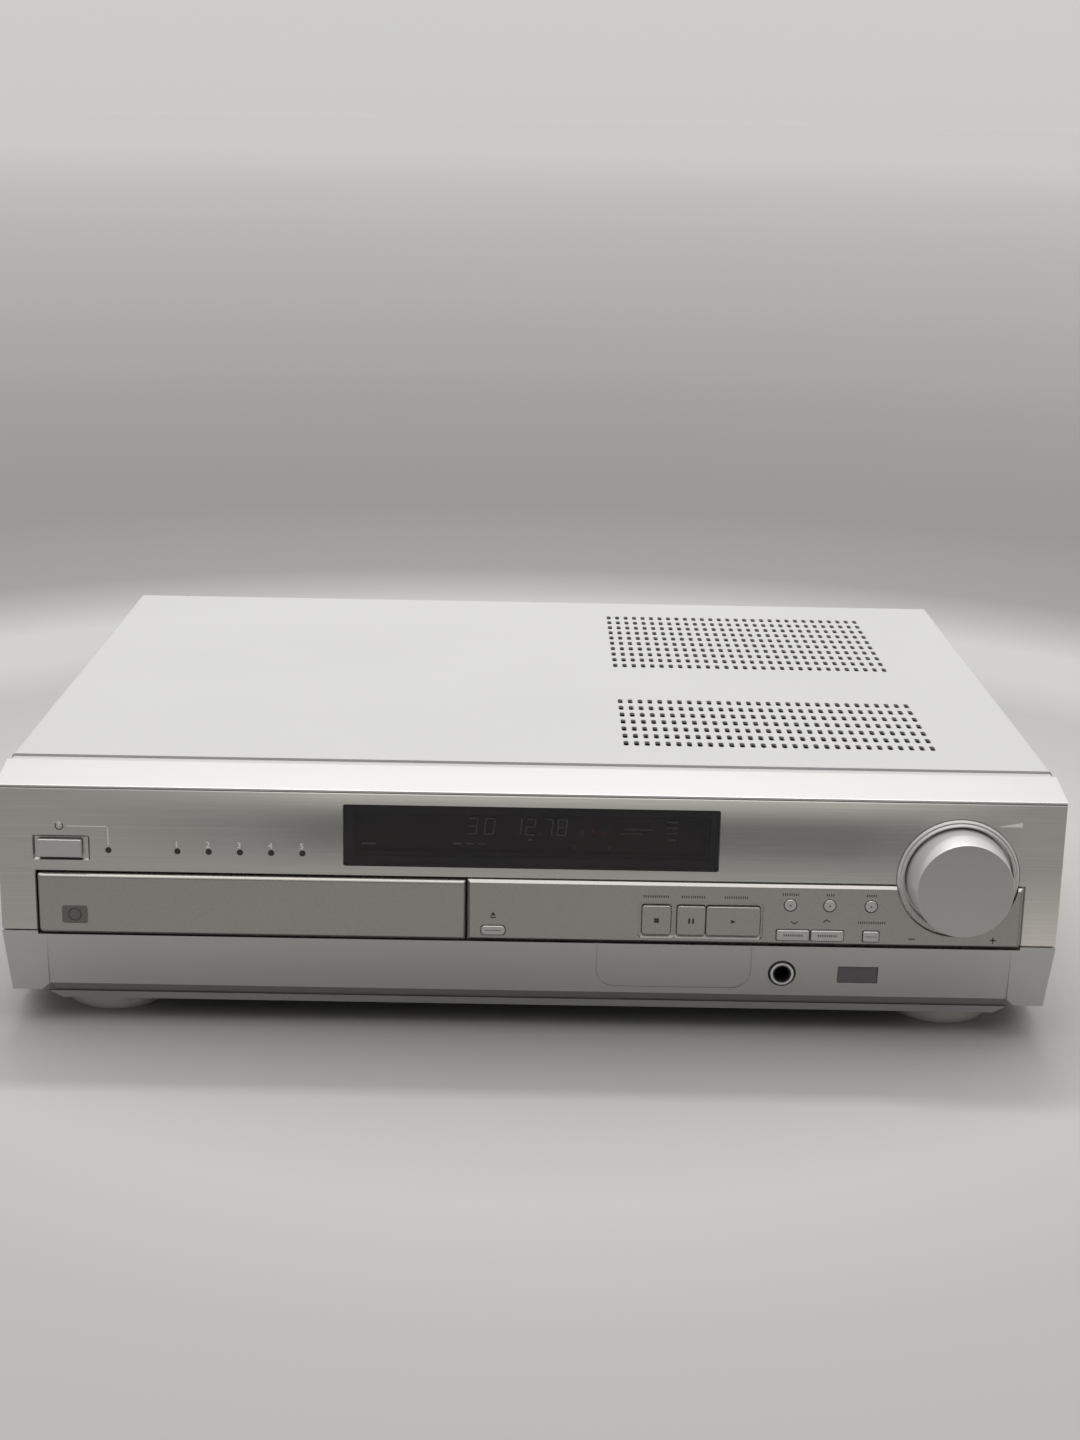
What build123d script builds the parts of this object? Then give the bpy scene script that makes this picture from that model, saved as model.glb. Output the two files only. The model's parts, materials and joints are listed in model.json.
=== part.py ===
from build123d import *
import math
import os

# Five-disc receiver: a slim metal cased unit with a disc drawer at the left of the front,
# a row of keys beside it and a large volume knob at the right.
# Millimetres. +Z up, the front faces -Y, origin at the bottom centre of the whole unit.
# "Depth" is always measured backwards from the outer face of the face plate.

# Overall sizes
width = 430.0
total_height = 107.0
body_depth = 335.3
knob_reach = 16.4
rear_reach = 9.0
front = -(knob_reach + body_depth + rear_reach) / 2 + knob_reach

# Sheet metal and mouldings
sheet = 1.0
panel_sheet = 1.2
wall = 3.0
skin = 2.5
fit = 0.3
running_fit = 0.05
seam_gap = 0.3
lap = 0.2

# Housing
foot_height = 9.9
strip_depth = 22.5
strip_rise = 4.0
strip_nose = 0.8
ledge_depth = 7.5
ledge_drop = 1.0
cover_bottom = 11.5
cover_bend = 1.6
cover_flange = 7.0
pan_flange = 14.0
pan_lip_depth = 5.0
pan_lip_height = 2.9
pan_lip_half = 198.0
pan_nose_half = 192.5

# Vent slots in the cover
slot_width = 2.2
slot_length = 6.8
slot_pitch_x = 4.517
slot_pitch_y = 11.468
slot_columns = 30
vent_middle_x = 105.3
front_vent_rows = 7
front_vent_depth = 95.7
rear_vent_rows = 10
rear_vent_depth = 248.7

# Feet and screws
foot_x = 175.0
front_foot_depth = 36.0
rear_foot_depth = 300.0
foot_top_radius = 22.0
foot_bottom_radius = 20.0
foot_rim = 5.0
foot_bulge = 0.5
foot_recess_radius = 5.0
foot_recess = 6.0
screw_head_radius = 3.4
screw_head = 1.6
screw_radius = 1.5
screw_cross = 3.6
screw_cross_width = 0.9
screw_cross_depth = 0.7
foot_screw_spare = 2.0
side_screw_reach = 4.0
rear_screw_reach = 6.0
side_screw_z = 18.0
side_screw_depths = (80.0, 280.0)
rear_screw_x = (-190.0, 0.0, 190.0)

# Face plate and the proud strip across it
plate = 1.5
seam_z = 41.0
strip_proud = 1.5
opening_half = 200.3
opening_top = 66.8
opening_bottom = 39.5
plate_corner = 1.2
plate_rim = 0.4
strip_nose_radius = 0.5
door_left = -199.5
door_right = -26.2
door_bottom = 40.3
door_top = 66.0
door_thickness = 6.5
door_corner = 2.2
clip_offset = 40.0
clip_width = 20.0
control_left = -25.5
control_right = 199.5
control_bottom = 40.7
control_top = 66.5
proud_edge = 1.1

# Display
window_half = 75.8
window_bottom = 71.3
window_top = 97.0
window_inset = 0.3
window_ledge = 3.5
window_corner = 0.85
tube_half = 70.0
tube_bottom = 74.5
tube_top = 94.0
tube_thickness = 6.0
tube_lift = 4.0
tube_edge = 0.8
tube_leg = 6.0
tube_leg_inset = 4.0

# Lower band
band_lean = 2.0
cheek_lean = 1.2
band_bottom = 17.4
band_lip = 0.6
undercut_depth = 6.0
undercut_end_x = 195.0
undercut_roof = 1.2
roof_rise = 0.8
cheek_x = 197.0
cheek_bottom = 14.7
cheek_bottom_x = 212.0
cheek_flat_x = 200.0
hollow_trim = 0.6
tab_left = 27.2
tab_right = 91.0
tab_bottom = 20.0
tab_radius = 8.0
groove = 0.6
groove_cut = 0.5

# Headphone socket and remote window
jack_x = 103.75
jack_z = 27.25
jack_radius = 5.6
jack_bore_radius = 3.2
jack_bore_length = 15.0
jack_body = 14.0
jack_set_back = 0.4
jack_collar = 4.6
jack_edge = 0.8
remote_set_back = 1.6
remote_left = 126.7
remote_right = 143.0
remote_bottom = 23.6
remote_top = 30.7

# Volume knob
knob_x = 173.0
knob_z = 70.4
knob_base_radius = 21.5
knob_face_radius = 19.4
knob_edge = 0.5
knob_skin = 2.0
knob_set_back = 0.5
ring_radius = 24.7
ring_inner_radius = 22.1
ring_proud = 2.4
ring_step = 1.2
ring_step_width = 1.4
ring_edge = 0.9
ring_slope = 0.5
shaft_radius = 3.0
shaft_cover = 3.0
shaft_root = 4.0
shaft_end_gap = 1.0
encoder_front = 9.0
encoder_size = 14.0
bush_radius = 4.5
bush_overlap = 2.0
knob_boss_radius = 5.0

# Keys: a cap that slides in the strip and a stem that reaches a switch on the front board
key_proud = 0.9
key_travel = 0.8
key_gap = 0.25
key_edge = 0.5
key_back = 0.6
stem_size = 2.4
stem_spare = 0.1
stop_x = 51.3
stop_width = 11.8
pause_x = 65.4
pause_width = 11.6
play_x = 82.5
play_width = 22.0
tuning_down_x = 107.0
tuning_up_x = 121.0
tuning_width = 13.4
selector_x = 138.8
selector_width = 6.6
open_x = -15.0
open_z = 45.1
open_width = 9.8
open_height = 4.0
transport_radius = 1.2
small_radius = 0.8
open_radius = 1.6
power_radius = 0.9
power_left = -199.0
power_right = -181.0
power_bottom = 73.0
power_top = 80.6
power_recess_left = -201.0
power_recess_right = -178.0
power_recess_bottom = 71.5
power_recess_top = 82.0
power_proud = 1.6
recess_bevel = 0.9
recess_radius = 0.8
recess_angle = 40
transport_bottom = 44.5
transport_top = 57.0
transport_pocket = 0.7
transport_margin = 1.6
pair_margin = 1.2
pocket_radius = 1.6
round_key_radius = 2.5
round_key_z = 58.0
round_key_x = (105.5, 121.5, 138.3)
small_bottom = 42.8
small_top = 47.4
lens_radius = 1.1
lens_z = 76.0
standby_x = -170.5
disc_lens_x = -142.7
disc_lens_pitch = 12.6
lens_proud = 0.2
disc_count = 5

# Boards
board = 1.6
front_board_depth = 17.0
front_board_half = 208.0
front_board_top = 101.0
board_step = 69.0
key_board_left = -21.0
key_board_right = 193.0
key_board_bottom = 18.0
switch_size = 6.0
switch_height = 3.5
main_board_z = 20.0
post_radius = 3.0
post_inset = 8.0
bezel_posts = [(-195.0, 92.0), (-90.0, 92.0), (90.0, 98.0), (195.0, 98.0), (20.0, 62.0)]
band_posts = [(10.0, 25.0), (186.0, 25.0)]

# Disc changer
tray_half = 67.0
tray_front = 7.0
tray_length = 162.0
tray_z = 48.0
tray_thickness = 7.5
tray_edge = 0.6
disc_recess_radius = 61.0
disc_recess = 4.0
small_disc_radius = 41.0
small_disc_recess = 1.0
disc_offset = 66.0
tray_slot_half = 17.0
tray_slot_front = 20.0
tray_slot_rear = 64.0
tray_slot_corner = 16.0
tongue = 2.5
tongue_height = 2.0
tongue_lift = 2.0
rail = 5.0
rail_front = 11.0
rail_length = 174.0
rail_top = 99.0
rail_low_end = 14.0
rail_low_top = 60.0
deck_z = 26.0
deck = 2.0
deck_hole_depth = 44.0
deck_hole_width = 30.0
deck_hole_length = 40.0
store_z = 66.0
store_pitch = 8.0
store_thickness = 5.0
store_length = 152.0
store_back = 17.0
store_recess = 2.0
store_recess_depth = 72.0
store_slot_depth = 90.0
store_slot_length = 80.0
store_tongue_lift = 1.5
store_count = disc_count - 1

# Loading drive: rack under the tray, gear, belt and motor
module = 1.0
gear_teeth = 24
pressure_angle = math.radians(20)
tooth_addendum = 0.9
tooth_dedendum = 1.25
tooth_play = 0.1
rack_end = 4.0
gear_depth = 25.0
rack_line = 52.0
rack_height = 3.1
rack_back = 3.0
gear_top_gap = 0.4
gear_height = 2.6
pulley_z = 38.0
pulley_height = 5.0
pulley_rim_radius = 13.0
pulley_flange_radius = 14.3
pulley_flange = 1.0
gear_hub_inset = 3.0
pin_radius = 2.0
pin_shoulder = 2.0
motor_pulley_radius = 3.0
motor_pulley_flange_radius = 4.2
motor_spacing = 45.0
motor_radius = 10.0
motor_edge = 1.0
motor_gap = 1.0
motor_bore_lift = 3.0
motor_shaft_radius = 1.0
motor_shaft_lift = 1.0
bore_reach = 20.0
belt_play = 0.15
belt_thickness = 1.2
belt_height = 2.0

# Pickup deck
traverse = 2.0
traverse_half = 40.0
traverse_front = 25.0
traverse_rear = 80.0
traverse_corner = 6.0
traverse_hole_width = 26.0
traverse_hole_length = 36.0
spindle_radius = 11.0
spindle_height = 8.0
spindle_bore_lift = 2.0
turntable_radius = 14.0
turntable_height = 3.0
turntable_gap = 2.0
hub_radius = 7.3
hub_height = 4.0
hub_taper = 18
rod_radius = 1.5
rod_half = 21.0
rod_front = 14.0
rod_rear = 78.0
rod_lift = 5.0
rod_post = 3.0
rod_post_width = 6.0
rod_post_cover = 1.5
head_half = 25.0
head_front = 19.0
head_length = 16.0
head_height = 10.0
head_lift = 1.0
head_corner = 1.5
head_edge = 0.8
head_cap_width = 14.0
head_cap_length = 12.0
head_cap = 1.2
head_lens_radius = 2.6
lens_height = 1.6
clamp_gap = 2.5
clamp_thickness = 3.0
clamp_radius = 16.0
clamp_hole_radius = 13.0
clamp_half_length = 24.0
clamp_flange = 1.8
clamp_drop = 0.6
clamp_play = 1.0

# Electronics behind the front
board_left = -14.0
board_right = 208.0
board_front = 30.0
board_rear = 322.0
sink_left = 50.0
sink_right = 165.0
sink_front = 205.0
sink_base = 4.0
sink_fin_length = 31.0
sink_top = 88.0
fin_thickness = 1.6
fin_count = 15
power_module_width = 40.0
power_module_height = 28.0
power_module_thickness = 8.0
power_module_lift = 8.0
power_module_gap = 12.0
power_module_leg_inset = 3.0
power_module_leg = 1.0
capacitor_radius = 12.5
capacitor_height = 38.0
capacitor_edge = 1.2
capacitor_pitch = 34.0
capacitor_columns = 3
capacitor_rows = 2
small_capacitor_radius = 5.0
small_capacitor_height = 12.0
small_capacitor_back = 62.0
small_capacitor_pitch_x = 18.0
small_capacitor_pitch_y = 16.0
small_capacitor_columns = 7
transformer_x = -155.0
transformer_depth = 250.0
transformer_width = 70.0
transformer_length = 58.0
transformer_height = 60.0
transformer_stack = 34.0
core_window_height = 38.4
core_window_width = 11.6
core_leg_width = 23.4
core_foot = 8.0
core_foot_height = 2.0
winding_corner = 6.0
power_board_left = -108.0
power_board_right = -22.0
power_board_front = 215.0
power_board_rear = 306.0

# Rear fittings
fan_x = -30.0
fan_z = 60.0
fan_size = 60.0
fan_thickness = 20.0
fan_bore_radius = 28.5
fan_blade_radius = 27.5
fan_hub_radius = 13.0
fan_blades = 7
fan_plate = 2.5
fan_slots = 8
fan_slot_width = 4.2
fan_corner = 4.0
fan_spokes = 3
fan_spoke_width = 3.0
fan_pin_inset = 4.0
rotor_front_gap = 1.0
rotor_rear_gap = 1.0
rotor_cap = 1.5
blade_thickness = 1.4
blade_angle = 38
fan_root = 1.0
speaker_left = 14.0
speaker_right = 100.0
speaker_bottom = 24.0
speaker_top = 52.0
speaker_proud = 2.0
speaker_columns = 3
socket_width = 14.0
socket_height = 8.0
socket_depth = 12.0
socket_body = 18.0
socket_foot_inset = 5.0
socket_foot = 2.8
phono_pitch = 16.0
phono_row_pitch = 15.0
phono_columns = 4
phono_x = 152.0
phono_z = 38.0
phono_radius = 4.15
phono_bore_radius = 1.6
phono_bore_depth = 11.0
phono_body = 14.0
phono_body_rise = 7.0
barrel_neck = 0.4
neck_step = 0.4
tuner_left = 152.0
tuner_right = 204.0
tuner_bottom = 58.0
tuner_top = 96.0
tuner_length = 40.0
aerial_x = 166.0
aerial_z = 77.0
aerial_radius = 4.75
aerial_bore_radius = 3.9
aerial_pin_radius = 1.2
aerial_pin_set_back = 1.0
inlet_x = -180.0
inlet_z = 36.0
inlet_width = 30.0
inlet_height = 22.0
inlet_proud = 1.2
inlet_socket_width = 15.0
inlet_socket_height = 8.0
inlet_socket_depth = 12.0
inlet_body = 18.0
inlet_pin_radius = 1.2
inlet_pin_set_back = 2.0
inlet_pin_root = 1.0

# Places worked out from the sizes above
half = width / 2
plate_top = total_height - strip_rise - strip_nose - seam_gap
cover_front = strip_depth + seam_gap
pan_width = width - 2 * (sheet + fit)
pan_top = foot_height + sheet
undercut_bottom = pan_top + fit
panel_back = body_depth - sheet
panel_front = panel_back - panel_sheet
flange_front = cover_front + ledge_depth + sheet + fit
wall_back = plate + wall
control_face = -strip_proud
switch_front = front_board_depth - switch_height
stem_end = switch_front - key_travel - stem_spare
changer_x = (door_left + door_right) / 2
disc_depth = tray_front + disc_offset
tray_floor = tray_z + tray_thickness - disc_recess
gear_radius = module * gear_teeth / 2
gear_x = changer_x - rack_line + gear_radius
motor_x = gear_x + motor_spacing
traverse_top = deck_z + deck + traverse
bridge_z = tray_z + tray_thickness + clamp_gap
rail_face = tray_half + fit
transport_z = (transport_bottom + transport_top) / 2
transport_height = transport_top - transport_bottom
small_z = (small_bottom + small_top) / 2
small_height = small_top - small_bottom
power_x = (power_left + power_right) / 2
power_z = (power_bottom + power_top) / 2
rear_end = body_depth + rear_reach

os.makedirs("parts", exist_ok=True)


# Position across the depth of the unit
def at(depth):
    return front + depth


# Upright plane facing the front; sketches on it use X and Z, and negative extrusions run backwards
def upright(depth):
    return Plane.XZ.offset(-at(depth))


# Write one finished piece
def save(piece, name):
    piece.part.label = name
    export_step(piece.part, f"parts/{name}.step")


# Middle of two edges
def span(low, high):
    return (low + high) / 2


# Top cover: folded sheet with a joggled front edge, a rear flange and two fields of vent slots
with BuildPart() as top_cover:
    with BuildSketch(upright(cover_front + ledge_depth)):
        with Locations((0, span(cover_bottom, total_height))):
            Rectangle(width, total_height - cover_bottom)
        with Locations((0, span(cover_bottom, total_height) - sheet)):
            Rectangle(width - 2 * sheet, total_height - cover_bottom, mode=Mode.SUBTRACT)
    extrude(amount=-(body_depth - cover_front - ledge_depth))
    top_edges = top_cover.edges().filter_by(Axis.Y).group_by(Axis.Z)[-1]
    fillet(top_edges, cover_bend)
    joggle = ledge_drop + sheet
    with BuildSketch(upright(cover_front)):
        with Locations((0, span(cover_bottom, total_height) - ledge_drop)):
            Rectangle(width - 2 * ledge_drop, total_height - cover_bottom)
        with Locations((0, span(cover_bottom, total_height) - joggle)):
            Rectangle(width - 2 * joggle, total_height - cover_bottom, mode=Mode.SUBTRACT)
        with Locations((0, cover_bottom - joggle / 2)):
            Rectangle(width, joggle, mode=Mode.SUBTRACT)
    extrude(amount=-(ledge_depth + sheet))
    with BuildSketch(upright(panel_back)):
        with Locations((0, total_height - cover_flange / 2)):
            Rectangle(width - 2 * cover_bend, cover_flange)
    extrude(amount=-sheet)
    with BuildSketch(Plane.XY.offset(total_height)):
        with Locations((vent_middle_x, at(front_vent_depth))):
            with GridLocations(slot_pitch_x, slot_pitch_y, slot_columns, front_vent_rows):
                SlotOverall(slot_length, slot_width, rotation=90)
        with Locations((vent_middle_x, at(rear_vent_depth))):
            with GridLocations(slot_pitch_x, slot_pitch_y, slot_columns, rear_vent_rows):
                SlotOverall(slot_length, slot_width, rotation=90)
    extrude(amount=-2 * sheet, mode=Mode.SUBTRACT)
    with BuildSketch(Plane.YZ.offset(-half)):
        with Locations(*[(at(depth), side_screw_z) for depth in side_screw_depths]):
            Circle(screw_head_radius + fit)
    extrude(amount=width, mode=Mode.SUBTRACT)
    with BuildSketch(upright(panel_back)):
        with Locations(*[(x, total_height - cover_flange / 2) for x in rear_screw_x]):
            Circle(screw_radius + running_fit)
    extrude(amount=-2 * sheet, mode=Mode.SUBTRACT)
save(top_cover, "top_cover")

# Chassis pan: floor, two side flanges, the lip that shows under the front, and posts for the boards
main_posts = [
    (x, at(depth))
    for x in (board_left + post_inset, board_right - post_inset)
    for depth in (board_front + post_inset, span(board_front, board_rear), board_rear - post_inset)
]
power_posts = [
    (x, at(depth))
    for x in (power_board_left + post_inset, power_board_right - post_inset)
    for depth in (power_board_front + post_inset, power_board_rear - post_inset)
]
feet_spots = [
    (side * foot_x, at(depth))
    for side in (-1, 1)
    for depth in (front_foot_depth, rear_foot_depth)
]
with BuildPart() as chassis_pan:
    with BuildSketch(Plane.XY.offset(foot_height)):
        with Locations((0, at(span(cover_front, panel_front)))):
            Rectangle(pan_width, panel_front - cover_front)
        with Locations((0, at(span(pan_lip_depth, cover_front)))):
            Rectangle(2 * pan_nose_half, cover_front - pan_lip_depth)
        with Locations(*feet_spots):
            Circle(screw_radius + running_fit, mode=Mode.SUBTRACT)
    extrude(amount=sheet)
    with BuildSketch(Plane.XY.offset(foot_height)):
        for side in (-1, 1):
            with Locations((side * (pan_width - sheet) / 2, at(span(flange_front, panel_front)))):
                Rectangle(sheet, panel_front - flange_front)
    extrude(amount=pan_flange)
    with BuildSketch(upright(pan_lip_depth)):
        with BuildLine():
            Polyline(
                (-pan_nose_half, foot_height),
                (pan_nose_half, foot_height),
                (pan_lip_half, foot_height + pan_lip_height),
                (-pan_lip_half, foot_height + pan_lip_height),
                close=True,
            )
        make_face()
    extrude(amount=-sheet)
    with BuildSketch(Plane.XY.offset(foot_height)):
        with Locations(*(main_posts + power_posts)):
            Circle(post_radius)
    extrude(amount=main_board_z - foot_height)
    with BuildSketch(Plane.YZ.offset(-half)):
        with Locations(*[(at(depth), side_screw_z) for depth in side_screw_depths]):
            Circle(screw_radius + running_fit)
    extrude(amount=width, mode=Mode.SUBTRACT)
save(chassis_pan, "chassis_pan")

# Rear panel with its cut-outs
with BuildPart() as rear_panel:
    with BuildSketch(upright(panel_front)):
        with Locations((0, span(foot_height, total_height - sheet - fit))):
            Rectangle(pan_width, total_height - sheet - fit - foot_height)
        with Locations((span(speaker_left, speaker_right), span(speaker_bottom, speaker_top))):
            Rectangle(
                speaker_right - speaker_left + 2 * fit,
                speaker_top - speaker_bottom + 2 * fit,
                mode=Mode.SUBTRACT,
            )
        with Locations((inlet_x, inlet_z)):
            Rectangle(inlet_width + 2 * fit, inlet_height + 2 * fit, mode=Mode.SUBTRACT)
        with Locations((phono_x, phono_z)):
            with GridLocations(phono_pitch, phono_row_pitch, phono_columns, 2):
                Circle(phono_radius + fit, mode=Mode.SUBTRACT)
        with Locations((aerial_x, aerial_z)):
            Circle(aerial_radius + fit, mode=Mode.SUBTRACT)
        for row in range(fan_slots):
            rise = (row + 0.5 - fan_slots / 2) * 2 * fan_blade_radius / fan_slots
            reach = 2 * math.sqrt(fan_blade_radius**2 - rise**2)
            with Locations((fan_x, fan_z + rise)):
                SlotOverall(reach, fan_slot_width, mode=Mode.SUBTRACT)
        with Locations(*[(x, total_height - cover_flange / 2) for x in rear_screw_x]):
            Circle(screw_radius + running_fit, mode=Mode.SUBTRACT)
    extrude(amount=-panel_sheet)
save(rear_panel, "rear_panel")

# Feet, one node of four dishes, and the screws that hold them
with BuildPart() as feet:
    for x, y in feet_spots:
        with BuildSketch(Plane(origin=(x, y, 0), x_dir=(1, 0, 0), z_dir=(0, -1, 0))):
            with BuildLine():
                Polyline((foot_recess_radius, 0), (foot_bottom_radius, 0))
                ThreePointArc(
                    (foot_bottom_radius, 0),
                    (foot_top_radius - foot_bulge, (foot_height - foot_rim) / 2),
                    (foot_top_radius, foot_height - foot_rim),
                )
                Polyline(
                    (foot_top_radius, foot_height - foot_rim),
                    (foot_top_radius, foot_height),
                    (screw_radius + running_fit, foot_height),
                    (screw_radius + running_fit, foot_recess),
                    (foot_recess_radius, foot_recess),
                    (foot_recess_radius, 0),
                )
            make_face()
        revolve(axis=Axis((x, y, 0), (0, 0, 1)))
save(feet, "feet")

with BuildPart() as foot_screws:
    with BuildSketch(Plane.XY.offset(foot_recess - screw_head)):
        with Locations(*feet_spots):
            Circle(screw_head_radius)
    extrude(amount=screw_head)
    with BuildSketch(Plane.XY.offset(foot_recess - screw_head)):
        with Locations(*feet_spots):
            Circle(screw_radius)
    extrude(amount=pan_top + foot_screw_spare - foot_recess + screw_head)
    with BuildSketch(Plane.XY.offset(foot_recess - screw_head)):
        with Locations(*feet_spots):
            Rectangle(screw_cross, screw_cross_width)
            Rectangle(screw_cross_width, screw_cross)
    extrude(amount=screw_cross_depth, mode=Mode.SUBTRACT)
save(foot_screws, "foot_screws")

# Cover screws: two flush in each side and three at the rear
with BuildPart() as cover_screws:
    for side in (-1, 1):
        side_plane = Plane.YZ.offset(side * half)
        with BuildSketch(side_plane):
            with Locations(*[(at(depth), side_screw_z) for depth in side_screw_depths]):
                Circle(screw_head_radius)
        extrude(amount=-side * (sheet + fit))
        with BuildSketch(side_plane):
            with Locations(*[(at(depth), side_screw_z) for depth in side_screw_depths]):
                Circle(screw_radius)
        extrude(amount=-side * (sheet + fit + side_screw_reach))
        with BuildSketch(side_plane):
            with Locations(*[(at(depth), side_screw_z) for depth in side_screw_depths]):
                Rectangle(screw_cross, screw_cross_width)
                Rectangle(screw_cross_width, screw_cross)
        extrude(amount=-side * screw_cross_depth, mode=Mode.SUBTRACT)
    rear_spots = [(x, total_height - cover_flange / 2) for x in rear_screw_x]
    with BuildSketch(upright(body_depth)):
        with Locations(*rear_spots):
            Circle(screw_head_radius)
    extrude(amount=-screw_head)
    with BuildSketch(upright(body_depth - rear_screw_reach)):
        with Locations(*rear_spots):
            Circle(screw_radius)
    extrude(amount=-rear_screw_reach)
    with BuildSketch(upright(body_depth + screw_head)):
        with Locations(*rear_spots):
            Rectangle(screw_cross, screw_cross_width)
            Rectangle(screw_cross_width, screw_cross)
    extrude(amount=screw_cross_depth, mode=Mode.SUBTRACT)
save(cover_screws, "cover_screws")

# Keys: place, size and corner radius
strip_keys = {
    "stop_button": (stop_x, transport_z, stop_width, transport_height, transport_radius),
    "pause_button": (pause_x, transport_z, pause_width, transport_height, transport_radius),
    "play_button": (play_x, transport_z, play_width, transport_height, transport_radius),
    "tuning_down_button": (tuning_down_x, small_z, tuning_width, small_height, small_radius),
    "tuning_up_button": (tuning_up_x, small_z, tuning_width, small_height, small_radius),
    "selector_button": (selector_x, small_z, selector_width, small_height, small_radius),
    "open_close_button": (open_x, open_z, open_width, open_height, open_radius),
}
round_keys = {
    "repeat_button": round_key_x[0],
    "mode_button": round_key_x[1],
    "preset_button": round_key_x[2],
}
key_spots = [(x, z) for x, z, _, _, _ in strip_keys.values()]
key_spots = key_spots + [(x, round_key_z) for x in round_keys.values()]
key_spots = key_spots + [(power_x, power_z)]
lens_spots = [(standby_x, lens_z)]
lens_spots = lens_spots + [(disc_lens_x + k * disc_lens_pitch, lens_z) for k in range(disc_count)]

# Front moulding: the bright sloping strip on top, the wall behind the face plate and two side walls
with BuildPart() as front_bezel:
    nose_z = total_height - strip_rise
    with BuildSketch(Plane.YZ.offset(-half)):
        with BuildLine():
            Polyline(
                (at(0), nose_z - strip_nose),
                (at(0), nose_z),
                (at(strip_depth), total_height),
                (at(strip_depth), total_height - skin),
                (at(wall_back), nose_z - skin),
                (at(wall_back), seam_z + fit / 2),
                (at(plate), seam_z + fit / 2),
                (at(plate), nose_z - strip_nose),
                close=True,
            )
        make_face()
    extrude(amount=width)
    nose_edge = front_bezel.edges().filter_by(Axis.X).group_by(Axis.Y)[0].sort_by(Axis.Z)[-1]
    fillet(nose_edge, strip_nose_radius)
    for side in (-1, 1):
        with BuildSketch(Plane.YZ.offset(side * half)):
            with BuildLine():
                Polyline(
                    (at(plate), seam_z + fit / 2),
                    (at(plate), nose_z - skin),
                    (at(strip_depth), total_height - skin / 2),
                    (at(strip_depth), seam_z + fit / 2),
                    close=True,
                )
            make_face()
        extrude(amount=-side * skin)
    with BuildSketch(upright(wall_back)):
        with Locations(*bezel_posts):
            Circle(post_radius)
    extrude(amount=-(front_board_depth - wall_back))
    with BuildSketch(upright(plate)):
        with Locations((span(-opening_half, control_left), span(opening_bottom, opening_top))):
            Rectangle(control_left + opening_half, opening_top - opening_bottom)
        with Locations((0, span(window_bottom, window_top))):
            Rectangle(
                2 * (window_half - window_ledge),
                window_top - window_bottom - 2 * window_ledge,
            )
        with Locations((knob_x, knob_z)):
            Circle(bush_radius + fit)
        with Locations(*key_spots):
            Rectangle(stem_size + 2 * fit, stem_size + 2 * fit)
        with Locations(*lens_spots):
            Circle(lens_radius + fit / 2)
    extrude(amount=-wall, mode=Mode.SUBTRACT)
save(front_bezel, "front_bezel")

# Face plate: thin hairline metal across the top, with a cheek at each side of the drawer strip
with BuildPart() as face_plate:
    with BuildSketch(upright(0)):
        with Locations((0, span(seam_z + fit / 2, plate_top))):
            Rectangle(width, plate_top - seam_z - fit / 2)
        with Locations((0, span(opening_bottom, opening_top))):
            Rectangle(2 * opening_half, opening_top - opening_bottom, mode=Mode.SUBTRACT)
    extrude(amount=-plate)
    corner_edges = face_plate.edges().filter_by(Axis.Y).group_by(Axis.Z)[0]
    fillet(corner_edges.sort_by(Axis.X)[0], plate_corner)
    corner_edges = face_plate.edges().filter_by(Axis.Y).group_by(Axis.Z)[0]
    fillet(corner_edges.sort_by(Axis.X)[-1], plate_corner)
    rim = face_plate.faces().sort_by(Axis.Y)[0].edges()
    chamfer(rim, plate_rim)
    with BuildSketch(upright(0)):
        with Locations((0, span(window_bottom, window_top))):
            RectangleRounded(
                2 * (window_half + fit / 2),
                window_top - window_bottom + fit,
                window_corner + fit / 2,
            )
        with Locations((knob_x, knob_z)):
            Circle(ring_radius + fit)
        with Locations(*lens_spots):
            Circle(lens_radius + fit / 2)
    extrude(amount=-plate, mode=Mode.SUBTRACT)
    with BuildSketch(upright(0)):
        with Locations((span(power_recess_left, power_recess_right), power_z)):
            RectangleRounded(
                power_recess_right - power_recess_left,
                power_recess_top - power_recess_bottom,
                recess_radius,
            )
    extrude(amount=-recess_bevel, taper=recess_angle, mode=Mode.SUBTRACT)
    with BuildSketch(upright(0)):
        with Locations((power_x, power_z)):
            RectangleRounded(
                power_right - power_left + 2 * key_gap,
                power_top - power_bottom + 2 * key_gap,
                power_radius + key_gap,
            )
    extrude(amount=-plate, mode=Mode.SUBTRACT)
save(face_plate, "face_plate")

# Display window, let into the face plate against the wall behind it
with BuildPart() as display_window:
    with BuildSketch(upright(window_inset)):
        with Locations((0, span(window_bottom, window_top))):
            RectangleRounded(2 * window_half, window_top - window_bottom, window_corner)
    extrude(amount=-(plate - window_inset))
save(display_window, "display_window")

# Fluorescent display tube standing on the front board
with BuildPart() as display_tube:
    tube_face = front_board_depth - tube_lift - tube_thickness
    with BuildSketch(upright(tube_face)):
        with Locations((0, span(tube_bottom, tube_top))):
            Rectangle(2 * tube_half, tube_top - tube_bottom)
    extrude(amount=-tube_thickness)
    fillet(display_tube.faces().sort_by(Axis.Y)[0].edges(), tube_edge)
    with BuildSketch(upright(front_board_depth - tube_lift)):
        for side in (-1, 1):
            with Locations((side * (tube_half - tube_leg_inset), span(tube_bottom, tube_top))):
                Rectangle(tube_leg, tube_top - tube_bottom)
    extrude(amount=-tube_lift)
save(display_tube, "display_tube")

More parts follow.
